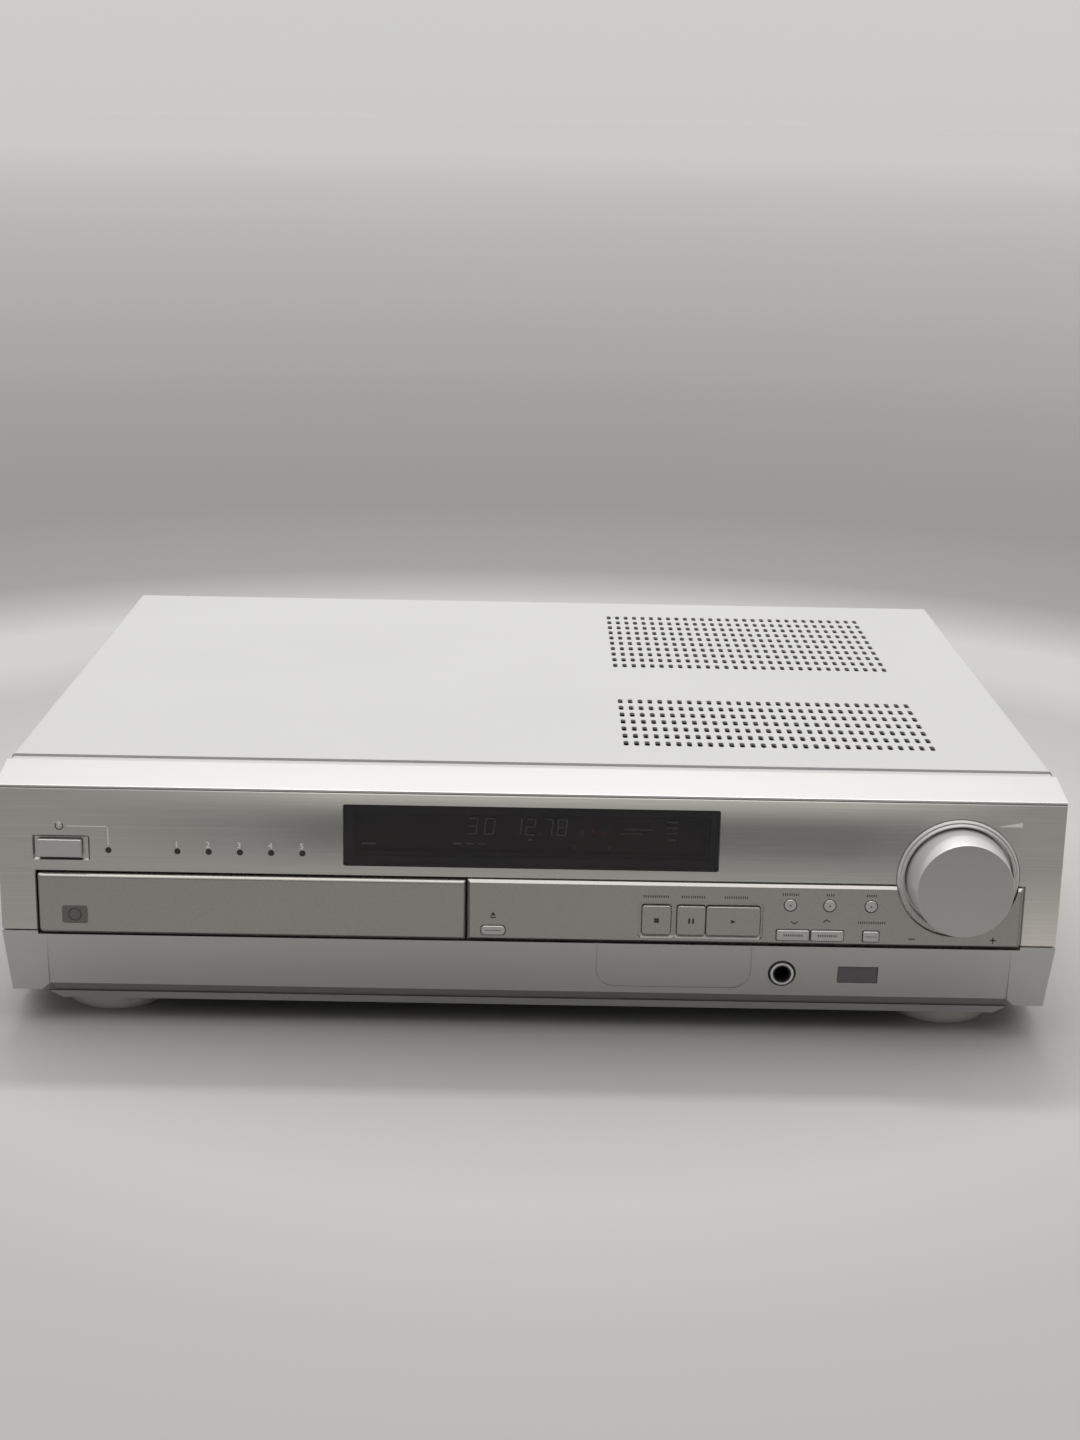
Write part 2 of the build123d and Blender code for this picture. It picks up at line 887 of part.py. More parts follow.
# Drawer front: a shallow moulding with a bright rounded edge, closed on the tray by two clips
with BuildPart() as drawer_front:
    door_plane = upright(control_face)
    with BuildSketch(door_plane):
        with Locations((changer_x, span(door_bottom, door_top))):
            Rectangle(door_right - door_left, door_top - door_bottom)
    extrude(amount=-door_thickness)
    long_corner = drawer_front.edges().filter_by(Axis.Y).group_by(Axis.Z)[0].sort_by(Axis.X)[0]
    fillet(long_corner, door_corner)
    chamfer(drawer_front.faces().sort_by(Axis.Y)[0].edges(), proud_edge)
    with BuildSketch(upright(control_face + skin)):
        with Locations((changer_x, span(door_bottom, door_top))):
            Rectangle(
                door_right - door_left - 2 * skin,
                door_top - door_bottom - 2 * skin,
            )
    extrude(amount=-door_thickness, mode=Mode.SUBTRACT)
    with BuildSketch(upright(control_face + skin)):
        for side in (-1, 1):
            with Locations((changer_x + side * clip_offset, tray_z + tray_thickness / 2)):
                Rectangle(clip_width, tray_thickness)
    extrude(amount=-(tray_front - control_face - skin))
save(drawer_front, "drawer_front")

# Control strip: carries the keys and is cut round the knob's ring
with BuildPart() as control_strip:
    with BuildSketch(upright(control_face)):
        with Locations((span(control_left, control_right), span(control_bottom, control_top))):
            Rectangle(control_right - control_left, control_top - control_bottom)
    extrude(amount=-(strip_proud + plate))
    chamfer(control_strip.faces().sort_by(Axis.Y)[0].edges(), proud_edge)
    with BuildSketch(upright(control_face)):
        with Locations((knob_x, knob_z)):
            Circle(ring_radius + fit)
    extrude(amount=-(strip_proud + plate), mode=Mode.SUBTRACT)
    with BuildSketch(upright(control_face)):
        with Locations((stop_x, transport_z)):
            RectangleRounded(
                stop_width + 2 * transport_margin,
                transport_height + 2 * transport_margin,
                pocket_radius,
            )
        play_right = play_x + play_width / 2
        pause_left = pause_x - pause_width / 2
        with Locations((span(pause_left, play_right), transport_z)):
            RectangleRounded(
                play_right - pause_left + 2 * pair_margin,
                transport_height + 2 * transport_margin,
                pocket_radius,
            )
    extrude(amount=-transport_pocket, mode=Mode.SUBTRACT)
    with BuildSketch(upright(control_face)):
        for x, z, key_width, key_height, radius in strip_keys.values():
            with Locations((x, z)):
                RectangleRounded(key_width + 2 * key_gap, key_height + 2 * key_gap, radius)
        with Locations(*[(x, round_key_z) for x in round_keys.values()]):
            Circle(round_key_radius + key_gap)
    extrude(amount=-(strip_proud + plate), mode=Mode.SUBTRACT)
save(control_strip, "control_strip")


# One key: a rounded cap and its stem
def make_key(name, x, z, key_width, key_height, radius, face):
    with BuildPart() as key:
        with BuildSketch(upright(face)):
            with Locations((x, z)):
                if radius * 2 >= key_height:
                    Circle(radius)
                else:
                    RectangleRounded(key_width, key_height, radius)
        extrude(amount=-(key_back - face))
        fillet(key.faces().sort_by(Axis.Y)[0].edges(), key_edge)
        with BuildSketch(upright(key_back)):
            with Locations((x, z)):
                Rectangle(stem_size, stem_size)
        extrude(amount=-(stem_end - key_back))
    save(key, name)


for name, (x, z, key_width, key_height, radius) in strip_keys.items():
    make_key(name, x, z, key_width, key_height, radius, control_face - key_proud)
for name, x in round_keys.items():
    make_key(
        name,
        x,
        round_key_z,
        2 * round_key_radius,
        2 * round_key_radius,
        round_key_radius,
        control_face - key_proud / 2,
    )
make_key(
    "power_button",
    power_x,
    power_z,
    power_right - power_left,
    power_top - power_bottom,
    power_radius,
    -power_proud,
)

# Indicator lenses: one for standby and one for each disc
with BuildPart() as indicator_lenses:
    with BuildSketch(upright(-lens_proud)):
        with Locations(*lens_spots):
            Circle(lens_radius)
    extrude(amount=-(front_board_depth + lens_proud))
save(indicator_lenses, "indicator_lenses")

# Lower band: leaning front, dark undercut below it and a tapered cheek at each end
with BuildPart() as lower_band:
    with BuildSketch(Plane.YZ.offset(-cheek_x)):
        with BuildLine():
            Polyline(
                (at(0), opening_bottom),
                (at(band_lean), band_bottom),
                (at(band_lean + band_lip), band_bottom),
                (at(undercut_depth), band_bottom + band_lip),
                (at(undercut_depth), undercut_bottom),
                (at(undercut_depth + skin), undercut_bottom),
                (at(undercut_depth + skin), band_bottom + band_lip + undercut_roof),
                (at(band_lean + skin), band_bottom + band_lip + undercut_roof + roof_rise),
                (at(skin), opening_bottom),
                close=True,
            )
        make_face()
    extrude(amount=2 * cheek_x)
    with BuildSketch(upright(undercut_depth)):
        for side in (-1, 1):
            with BuildLine():
                Polyline(
                    (side * cheek_x, band_bottom),
                    (side * cheek_x, undercut_bottom),
                    (side * undercut_end_x, undercut_bottom),
                    close=True,
                )
            make_face()
    extrude(amount=-skin, mode=Mode.SUBTRACT)
    for side in (-1, 1):
        with BuildSketch(upright(strip_depth)):
            with BuildLine():
                Polyline(
                    (side * cheek_x, opening_bottom),
                    (side * (opening_half + fit / 2), opening_bottom),
                    (side * (opening_half + fit / 2), seam_z - fit / 2),
                    (side * half, seam_z - fit / 2),
                    (side * cheek_bottom_x, cheek_bottom),
                    (side * cheek_flat_x, cheek_bottom),
                    (side * cheek_x, band_bottom),
                    (side * cheek_x, opening_bottom),
                )
            make_face()
        extrude(amount=strip_depth)
    for side in (-1, 1):
        with BuildSketch(upright(strip_depth)):
            with BuildLine():
                Polyline(
                    (side * (cheek_x + skin), opening_bottom - skin),
                    (side * (half - skin - hollow_trim), opening_bottom - skin),
                    (side * (cheek_bottom_x - skin), cheek_bottom + skin),
                    (side * (cheek_flat_x + hollow_trim), cheek_bottom + skin),
                    (side * (cheek_x + skin), band_bottom + skin),
                    (side * (cheek_x + skin), opening_bottom - skin),
                )
            make_face()
        extrude(amount=strip_depth - skin - band_lean, mode=Mode.SUBTRACT)
    lean_angle = math.atan2(band_lean, opening_bottom - band_bottom)
    cheek_slope = cheek_lean / (opening_bottom - band_bottom)
    lean_drop = 2 * (opening_bottom - undercut_bottom)
    with BuildSketch(Plane.YZ.offset(-half)):
        with BuildLine():
            Polyline(
                (at(0), opening_bottom),
                (at(lean_drop * cheek_slope), opening_bottom - lean_drop),
                (at(-skin), opening_bottom - lean_drop),
                (at(-skin), opening_bottom),
                close=True,
            )
        make_face()
    extrude(amount=width, mode=Mode.SUBTRACT)
    lean_plane = Plane(
        origin=(0, at(0), opening_bottom),
        x_dir=(1, 0, 0),
        z_dir=(0, -math.cos(lean_angle), -math.sin(lean_angle)),
    )
    tab_length = opening_bottom - tab_bottom
    with BuildSketch(lean_plane):
        with Locations((span(tab_left, tab_right), 0)):
            RectangleRounded(tab_right - tab_left, 2 * tab_length, tab_radius)
            RectangleRounded(
                tab_right - tab_left - 2 * groove,
                2 * (tab_length - groove),
                tab_radius - groove,
                mode=Mode.SUBTRACT,
            )
    extrude(amount=-groove_cut, mode=Mode.SUBTRACT)
    with BuildSketch(upright(0)):
        with Locations((jack_x, jack_z)):
            Circle(jack_radius + fit / 2)
        with Locations((span(remote_left, remote_right), span(remote_bottom, remote_top))):
            Rectangle(remote_right - remote_left + fit, remote_top - remote_bottom + fit)
    extrude(amount=-(band_lean + skin), mode=Mode.SUBTRACT)
    with BuildSketch(upright(skin)):
        with Locations(*band_posts):
            Circle(post_radius)
    extrude(amount=-(front_board_depth - skin))
save(lower_band, "lower_band")

# Headphone socket: collar in the band, barrel behind it, bored for a 6.3 mm plug
with BuildPart() as headphone_jack:
    with BuildSketch(upright(jack_set_back)):
        with Locations((jack_x, jack_z)):
            Circle(jack_radius)
    extrude(amount=-jack_collar)
    chamfer(headphone_jack.faces().sort_by(Axis.Y)[0].edges(), jack_edge)
    jack_body_front = jack_set_back + jack_collar
    with BuildSketch(upright(jack_body_front)):
        with Locations((jack_x, jack_z)):
            Rectangle(jack_body, jack_body)
    extrude(amount=-(front_board_depth - jack_body_front))
    with BuildSketch(upright(jack_set_back)):
        with Locations((jack_x, jack_z)):
            Circle(jack_bore_radius)
    extrude(amount=-jack_bore_length, mode=Mode.SUBTRACT)
save(headphone_jack, "headphone_jack")

# Remote sensor window
with BuildPart() as remote_window:
    with BuildSketch(upright(remote_set_back)):
        with Locations((span(remote_left, remote_right), span(remote_bottom, remote_top))):
            Rectangle(remote_right - remote_left, remote_top - remote_bottom)
    extrude(amount=-(front_board_depth - remote_set_back))
save(remote_window, "remote_window")

# Front board, cut away round the drawer opening
with BuildPart() as front_board:
    with BuildSketch(upright(front_board_depth)):
        with Locations((0, span(board_step, front_board_top))):
            Rectangle(2 * front_board_half, front_board_top - board_step)
        with Locations((span(key_board_left, key_board_right), span(key_board_bottom, board_step))):
            Rectangle(key_board_right - key_board_left, board_step - key_board_bottom)
    extrude(amount=-board)
save(front_board, "front_board")

# Key switches on the board, one behind each stem
with BuildPart() as tact_switches:
    with BuildSketch(upright(switch_front)):
        with Locations(*key_spots):
            Rectangle(switch_size, small_height)
    extrude(amount=-switch_height)
save(tact_switches, "tact_switches")

# Trim ring round the knob, with a stepped collar
with BuildPart() as knob_ring:
    with BuildSketch(Plane(origin=(knob_x, 0, knob_z), x_dir=(1, 0, 0), z_dir=(0, 0, 1))):
        with BuildLine():
            Polyline(
                (ring_radius, at(plate)),
                (ring_radius, at(ring_edge - ring_step)),
                (ring_radius - ring_edge, at(-ring_step)),
                (ring_radius - ring_step_width, at(-ring_step)),
                (ring_radius - ring_step_width - ring_slope, at(-ring_proud)),
                (ring_inner_radius + ring_slope, at(-ring_proud)),
                (ring_inner_radius, at(ring_slope - ring_proud)),
                (ring_inner_radius, at(plate)),
                close=True,
            )
        make_face()
    revolve(axis=Axis((knob_x, 0, knob_z), (0, 1, 0)))
save(knob_ring, "knob_ring")

# Volume knob: a hollow cup with a boss on the encoder's shaft
knob_axis = Axis((knob_x, 0, knob_z), (0, 1, 0))
shaft_front = -knob_reach + knob_skin + shaft_cover
with BuildPart() as volume_knob:
    with BuildSketch(Plane(origin=(knob_x, 0, knob_z), x_dir=(1, 0, 0), z_dir=(0, 0, 1))):
        with BuildLine():
            Polyline(
                (0, at(-knob_reach)),
                (knob_face_radius - knob_edge, at(-knob_reach)),
            )
            Line(
                (knob_face_radius - knob_edge, at(-knob_reach)),
                (knob_face_radius, at(-knob_reach + knob_edge)),
            )
            Polyline(
                (knob_face_radius, at(-knob_reach + knob_edge)),
                (knob_base_radius, at(knob_set_back)),
                (knob_base_radius - knob_skin, at(knob_set_back)),
                (knob_face_radius - knob_skin - knob_edge, at(-knob_reach + knob_skin)),
                (knob_boss_radius, at(-knob_reach + knob_skin)),
                (knob_boss_radius, at(knob_set_back)),
                (shaft_radius, at(knob_set_back)),
                (shaft_radius, at(shaft_front)),
                (0, at(shaft_front)),
                (0, at(-knob_reach)),
            )
        make_face()
    revolve(axis=knob_axis)
save(volume_knob, "volume_knob")

with BuildPart() as encoder_shaft:
    with BuildSketch(upright(shaft_front)):
        with Locations((knob_x, knob_z)):
            Circle(shaft_radius)
    extrude(amount=-(encoder_front + shaft_root - shaft_front))
save(encoder_shaft, "encoder_shaft")

with BuildPart() as volume_encoder:
    with BuildSketch(upright(encoder_front)):
        with Locations((knob_x, knob_z)):
            Rectangle(encoder_size, encoder_size)
    extrude(amount=-(front_board_depth - encoder_front))
    with BuildSketch(upright(wall_back - bush_overlap)):
        with Locations((knob_x, knob_z)):
            Circle(bush_radius)
    extrude(amount=-(encoder_front - wall_back + bush_overlap))
    with BuildSketch(upright(0)):
        with Locations((knob_x, knob_z)):
            Circle(shaft_radius + running_fit)
    extrude(amount=-(encoder_front + shaft_root + shaft_end_gap), mode=Mode.SUBTRACT)
save(volume_encoder, "volume_encoder")


# Outline of a tray, shared by the drawer's tray and the stored ones
def tray_outline():
    with Locations((changer_x, at(tray_front + tray_length / 2))):
        Rectangle(2 * tray_half, tray_length)


def tray_slot():
    slot_length_y = tray_slot_front + tray_slot_rear
    with Locations((changer_x, at(disc_depth + (tray_slot_rear - tray_slot_front) / 2))):
        RectangleRounded(2 * tray_slot_half, slot_length_y, tray_slot_corner)


# Disc tray: stepped recess, a slot for the turntable and pickup, side tongues and the rack below
with BuildPart() as disc_tray:
    with BuildSketch(Plane.XY.offset(tray_z)):
        tray_outline()
    extrude(amount=tray_thickness)
    fillet(disc_tray.faces().sort_by(Axis.Z)[-1].edges(), tray_edge)
    with BuildSketch(Plane.XY.offset(tray_z + tongue_lift)):
        with Locations((changer_x, at(tray_front + tray_length / 2))):
            Rectangle(2 * (tray_half + tongue), tray_length)
    extrude(amount=tongue_height)
    with BuildSketch(Plane.XY.offset(tray_floor)):
        with Locations((changer_x, at(disc_depth))):
            Circle(disc_recess_radius)
    extrude(amount=disc_recess, mode=Mode.SUBTRACT)
    with BuildSketch(Plane.XY.offset(tray_floor - small_disc_recess)):
        with Locations((changer_x, at(disc_depth))):
            Circle(small_disc_radius)
    extrude(amount=small_disc_recess, mode=Mode.SUBTRACT)
    with BuildSketch(Plane.XY.offset(tray_z)):
        tray_slot()
    extrude(amount=tray_thickness, mode=Mode.SUBTRACT)
    rack_x = changer_x - rack_line
    tooth_pitch = math.pi * module
    tooth_tip = math.tan(pressure_angle) * tooth_addendum
    tooth_root = math.tan(pressure_angle) * tooth_dedendum
    tooth_half = tooth_pitch / 4 - tooth_play
    rack_first = -int((gear_depth - tray_front - rack_end) / tooth_pitch)
    rack_last = int((tray_front + tray_length - gear_depth) / tooth_pitch) - 1
    with BuildSketch(Plane.XY.offset(tray_z - rack_height)):
        with Locations((rack_x - tooth_dedendum - rack_back / 2, at(tray_front + tray_length / 2))):
            Rectangle(rack_back, tray_length)
        for tooth in range(rack_first, rack_last + 1):
            tooth_y = at(gear_depth) + (tooth + 0.5) * tooth_pitch
            with BuildLine():
                Polyline(
                    (rack_x - tooth_dedendum - lap, tooth_y - tooth_half - tooth_root),
                    (rack_x + tooth_addendum, tooth_y - tooth_half + tooth_tip),
                    (rack_x + tooth_addendum, tooth_y + tooth_half - tooth_tip),
                    (rack_x - tooth_dedendum - lap, tooth_y + tooth_half + tooth_root),
                    close=True,
                )
            make_face()
    extrude(amount=rack_height + lap)
save(disc_tray, "disc_tray")

# Stored trays: four more in the magazine above the drawer's level
with BuildPart() as stored_trays:
    for level in range(store_count):
        level_z = store_z + level * store_pitch
        store_middle = (changer_x, at(rail_front + store_back + store_length / 2))
        with BuildSketch(Plane.XY.offset(level_z)):
            with Locations(store_middle):
                Rectangle(2 * tray_half, store_length)
        extrude(amount=store_thickness)
        with BuildSketch(Plane.XY.offset(level_z + store_tongue_lift)):
            with Locations(store_middle):
                Rectangle(2 * (tray_half + tongue), store_length)
        extrude(amount=tongue_height)
        with BuildSketch(Plane.XY.offset(level_z + store_thickness - store_recess)):
            with Locations((changer_x, at(rail_front + store_back + store_recess_depth))):
                Circle(disc_recess_radius)
        extrude(amount=store_recess, mode=Mode.SUBTRACT)
        with BuildSketch(Plane.XY.offset(level_z)):
            with Locations((changer_x, at(rail_front + store_back + store_slot_depth))):
                RectangleRounded(2 * tray_slot_half, store_slot_length, tray_slot_corner)
        extrude(amount=store_thickness, mode=Mode.SUBTRACT)
save(stored_trays, "stored_trays")

# Changer frame: two grooved side rails, the deck between them and the gear's post
with BuildPart() as changer_frame:
    rail_middle = at(rail_front + rail_length / 2)
    for side in (-1, 1):
        with BuildSketch(Plane.XY.offset(pan_top)):
            with Locations((changer_x + side * (rail_face + rail / 2), rail_middle)):
                Rectangle(rail, rail_length)
        extrude(amount=rail_low_top - pan_top)
        with BuildSketch(Plane.XY.offset(pan_top)):
            with Locations((changer_x + side * (rail_face + rail / 2), rail_middle + rail_low_end / 2)):
                Rectangle(rail, rail_length - rail_low_end)
        extrude(amount=rail_top - pan_top)
    with BuildSketch(Plane.XY.offset(deck_z)):
        with Locations((changer_x, rail_middle)):
            Rectangle(2 * rail_face + rail, rail_length)
        with Locations((changer_x, at(disc_depth + deck_hole_depth))):
            Rectangle(deck_hole_width, deck_hole_length, mode=Mode.SUBTRACT)
    extrude(amount=deck)
    for side in (-1, 1):
        groove_x = changer_x + side * (rail_face + tongue / 2)
        with BuildSketch(Plane.XY.offset(tray_z + tongue_lift - fit)):
            with Locations((groove_x, rail_middle)):
                Rectangle(tongue + fit, rail_length)
        extrude(amount=tongue_height + 2 * fit, mode=Mode.SUBTRACT)
        for level in range(store_count):
            with BuildSketch(Plane.XY.offset(store_z + level * store_pitch + store_tongue_lift - fit)):
                with Locations((groove_x, rail_middle)):
                    Rectangle(tongue + fit, rail_length)
            extrude(amount=tongue_height + 2 * fit, mode=Mode.SUBTRACT)
    with BuildSketch(Plane.XY.offset(deck_z + deck)):
        with Locations((gear_x, at(gear_depth))):
            Circle(pin_radius + pin_shoulder)
    extrude(amount=pulley_z - deck_z - deck - fit)
    with BuildSketch(Plane.XY.offset(deck_z + deck)):
        with Locations((gear_x, at(gear_depth))):
            Circle(pin_radius)
    extrude(amount=tray_z - gear_top_gap - deck_z - deck)
save(changer_frame, "changer_frame")


# Flank of an involute tooth: angle from the tooth's centre line at one radius
def flank_angle(radius):
    base = gear_radius * math.cos(pressure_angle)
    pitch_half = math.pi / (2 * gear_teeth) - tooth_play / gear_radius
    involute_pitch = math.tan(pressure_angle) - pressure_angle
    if radius <= base:
        return pitch_half + involute_pitch
    turn = math.acos(base / radius)
    return pitch_half + involute_pitch - (math.tan(turn) - turn)


# Loading gear with its belt pulley, one moulding on the frame's pin
with BuildPart() as drive_gear:
    gear_bottom = tray_z - gear_top_gap - gear_height
    gear_outer = gear_radius + tooth_addendum
    gear_root = gear_radius - tooth_dedendum
    flank_radii = [
        gear_root - tooth_play,
        span(gear_root, gear_radius),
        gear_radius,
        span(gear_radius, gear_outer),
        gear_outer,
    ]
    with BuildSketch(Plane(origin=(gear_x, at(gear_depth), gear_bottom))):
        Circle(gear_root)
        for tooth in range(gear_teeth):
            middle = 2 * math.pi * tooth / gear_teeth
            left = [(r, middle - flank_angle(r)) for r in flank_radii]
            right = [(r, middle + flank_angle(r)) for r in reversed(flank_radii)]
            with BuildLine():
                Polyline(
                    *[(r * math.cos(a), r * math.sin(a)) for r, a in left + right],
                    close=True,
                )
            make_face()
    extrude(amount=gear_height)
    with BuildSketch(Plane(origin=(gear_x, at(gear_depth), pulley_z))):
        Circle(pulley_flange_radius)
    extrude(amount=pulley_flange)
    with BuildSketch(Plane(origin=(gear_x, at(gear_depth), pulley_z))):
        Circle(pulley_rim_radius)
    extrude(amount=pulley_height)
    with BuildSketch(Plane(origin=(gear_x, at(gear_depth), pulley_z + pulley_height - pulley_flange))):
        Circle(pulley_flange_radius)
    extrude(amount=pulley_flange)
    with BuildSketch(Plane(origin=(gear_x, at(gear_depth), pulley_z))):
        Circle(gear_root - gear_hub_inset)
    extrude(amount=gear_bottom - pulley_z + lap)
    with BuildSketch(Plane(origin=(gear_x, at(gear_depth), pulley_z))):
        Circle(pin_radius + running_fit)
    extrude(amount=bore_reach, mode=Mode.SUBTRACT)
save(drive_gear, "drive_gear")

# Loading motor, its pulley and the belt
with BuildPart() as loading_motor:
    with BuildSketch(Plane(origin=(motor_x, at(gear_depth), deck_z + deck))):
        Circle(motor_radius)
    extrude(amount=pulley_z - deck_z - deck - motor_gap)
    fillet(loading_motor.faces().sort_by(Axis.Z)[-1].edges(), motor_edge)
    with BuildSketch(Plane(origin=(motor_x, at(gear_depth), deck_z + deck + motor_bore_lift))):
        Circle(motor_shaft_radius + running_fit)
    extrude(amount=bore_reach, mode=Mode.SUBTRACT)
save(loading_motor, "loading_motor")

shaft_bottom = deck_z + deck + motor_bore_lift + motor_shaft_lift
with BuildPart() as motor_pulley:
    with BuildSketch(Plane(origin=(motor_x, at(gear_depth), pulley_z))):
        Circle(motor_pulley_flange_radius)
    extrude(amount=pulley_flange)
    with BuildSketch(Plane(origin=(motor_x, at(gear_depth), pulley_z))):
        Circle(motor_pulley_radius)
    extrude(amount=pulley_height)
    with BuildSketch(Plane(origin=(motor_x, at(gear_depth), pulley_z + pulley_height - pulley_flange))):
        Circle(motor_pulley_flange_radius)
    extrude(amount=pulley_flange)
    with BuildSketch(Plane(origin=(motor_x, at(gear_depth), shaft_bottom))):
        Circle(motor_shaft_radius)
    extrude(amount=pulley_z - shaft_bottom + pulley_flange)
save(motor_pulley, "motor_pulley")

with BuildPart() as drive_belt:
    belt_z = pulley_z + (pulley_height - belt_height) / 2
    with BuildSketch(Plane(origin=(gear_x, at(gear_depth), belt_z))):
        Circle(pulley_rim_radius + belt_play + belt_thickness)
        with Locations((motor_spacing, 0)):
            Circle(motor_pulley_radius + belt_play + belt_thickness)
        make_hull()
    extrude(amount=belt_height)
    with BuildSketch(Plane(origin=(gear_x, at(gear_depth), belt_z))):
        Circle(pulley_rim_radius + belt_play)
        with Locations((motor_spacing, 0)):
            Circle(motor_pulley_radius + belt_play)
        make_hull()
    extrude(amount=belt_height, mode=Mode.SUBTRACT)
save(drive_belt, "drive_belt")

# Traverse plate with the posts that hold the guide rods
with BuildPart() as traverse_plate:
    with BuildSketch(Plane.XY.offset(deck_z + deck)):
        with Locations((changer_x, at(disc_depth + (traverse_rear - traverse_front) / 2))):
            RectangleRounded(2 * traverse_half, traverse_front + traverse_rear, traverse_corner)
        with Locations((changer_x, at(disc_depth + deck_hole_depth))):
            Rectangle(traverse_hole_width, traverse_hole_length, mode=Mode.SUBTRACT)
    extrude(amount=traverse)
    rod_spots = [
        (changer_x + side * rod_half, at(disc_depth + depth))
        for side in (-1, 1)
        for depth in (rod_front + rod_post / 2, rod_rear - rod_post / 2)
    ]
    with BuildSketch(Plane.XY.offset(traverse_top)):
        with Locations(*rod_spots):
            Rectangle(rod_post_width, rod_post)
    extrude(amount=rod_lift + rod_radius + rod_post_cover)
    with BuildSketch(Plane.XZ.offset(-at(disc_depth + rod_front))):
        for side in (-1, 1):
            with Locations((changer_x + side * rod_half, traverse_top + rod_lift)):
                Circle(rod_radius + running_fit)
    extrude(amount=-(rod_rear - rod_front), mode=Mode.SUBTRACT)
save(traverse_plate, "traverse_plate")

with BuildPart() as guide_rods:
    with BuildSketch(Plane.XZ.offset(-at(disc_depth + rod_front))):
        for side in (-1, 1):
            with Locations((changer_x + side * rod_half, traverse_top + rod_lift)):
                Circle(rod_radius)
    extrude(amount=-(rod_rear - rod_front))
save(guide_rods, "guide_rods")

# Spindle motor and turntable
spindle_spot = (changer_x, at(disc_depth))
with BuildPart() as spindle_motor:
    with BuildSketch(Plane.XY.offset(traverse_top)):
        with Locations(spindle_spot):
            Circle(spindle_radius)
    extrude(amount=spindle_height)
    fillet(spindle_motor.faces().sort_by(Axis.Z)[-1].edges(), motor_edge)
    with BuildSketch(Plane.XY.offset(traverse_top + spindle_bore_lift)):
        with Locations(spindle_spot):
            Circle(motor_shaft_radius + running_fit)
    extrude(amount=bore_reach, mode=Mode.SUBTRACT)
save(spindle_motor, "spindle_motor")

turntable_z = traverse_top + spindle_height + turntable_gap
with BuildPart() as turntable:
    with BuildSketch(Plane.XY.offset(turntable_z)):
        with Locations(spindle_spot):
            Circle(turntable_radius)
    extrude(amount=turntable_height)
    with BuildSketch(Plane.XY.offset(turntable_z + turntable_height)):
        with Locations(spindle_spot):
            Circle(hub_radius)
    extrude(amount=hub_height, taper=hub_taper)
    with BuildSketch(Plane.XY.offset(traverse_top + spindle_bore_lift + motor_shaft_lift)):
        with Locations(spindle_spot):
            Circle(motor_shaft_radius)
    extrude(amount=turntable_z + turntable_height / 2 - traverse_top - spindle_bore_lift - motor_shaft_lift)
save(turntable, "turntable")

# Laser pickup on its two rods
with BuildPart() as laser_head:
    head_z = traverse_top + head_lift
    with BuildSketch(Plane.XY.offset(head_z)):
        with Locations((changer_x, at(disc_depth + head_front + head_length / 2))):
            RectangleRounded(2 * head_half, head_length, head_corner)
    extrude(amount=head_height)
    fillet(laser_head.faces().sort_by(Axis.Z)[-1].edges(), head_edge)
    with BuildSketch(Plane.XY.offset(head_z + head_height)):
        with Locations((changer_x, at(disc_depth + head_front + head_length / 2))):
            Rectangle(head_cap_width, head_cap_length)
    extrude(amount=head_cap)
    with BuildSketch(Plane.XY.offset(head_z + head_height)):
        with Locations((changer_x, at(disc_depth + head_front + head_length / 2))):
            Circle(head_lens_radius)
    extrude(amount=head_cap + lens_height)
    with BuildSketch(Plane.XZ.offset(-at(disc_depth + head_front))):
        for side in (-1, 1):
            with Locations((changer_x + side * rod_half, traverse_top + rod_lift)):
                Circle(rod_radius + running_fit)
    extrude(amount=-head_length, mode=Mode.SUBTRACT)
save(laser_head, "laser_head")

# Clamp bridge across the rails and the clamp disc that hangs in it
with BuildPart() as clamp_bridge:
    with BuildSketch(Plane.XY.offset(bridge_z)):
        with Locations(spindle_spot):
            Rectangle(2 * rail_face, 2 * clamp_half_length)
            Circle(clamp_hole_radius, mode=Mode.SUBTRACT)
    extrude(amount=clamp_thickness)
save(clamp_bridge, "clamp_bridge")

with BuildPart() as clamp_disc:
    with BuildSketch(Plane.XY.offset(bridge_z + clamp_thickness + fit)):
        with Locations(spindle_spot):
            Circle(clamp_radius)
    extrude(amount=clamp_flange)
    with BuildSketch(Plane.XY.offset(bridge_z - clamp_drop)):
        with Locations(spindle_spot):
            Circle(clamp_hole_radius - clamp_play)
    extrude(amount=clamp_thickness + clamp_drop + fit)
save(clamp_disc, "clamp_disc")

# Main board and power board
with BuildPart() as main_board:
    with BuildSketch(Plane.XY.offset(main_board_z)):
        with Locations((span(board_left, board_right), at(span(board_front, board_rear)))):
            Rectangle(board_right - board_left, board_rear - board_front)
    extrude(amount=board)
save(main_board, "main_board")

with BuildPart() as power_board:
    with BuildSketch(Plane.XY.offset(main_board_z)):
        board_middle = at(span(power_board_front, power_board_rear))
        with Locations((span(power_board_left, power_board_right), board_middle)):
            Rectangle(power_board_right - power_board_left, power_board_rear - power_board_front)
    extrude(amount=board)
save(power_board, "power_board")

# Heat sink below the rear vents
board_top = main_board_z + board
with BuildPart() as heat_sink:
    with BuildSketch(Plane.XY.offset(board_top)):
        with Locations((span(sink_left, sink_right), at(sink_front + sink_base / 2))):
            Rectangle(sink_right - sink_left, sink_base)
        fin_pitch = (sink_right - sink_left - fin_thickness) / (fin_count - 1)
        with Locations((span(sink_left, sink_right), at(sink_front + sink_base + sink_fin_length / 2))):
            with GridLocations(fin_pitch, 1, fin_count, 1):
                Rectangle(fin_thickness, sink_fin_length + lap)
    extrude(amount=sink_top - board_top)
save(heat_sink, "heat_sink")

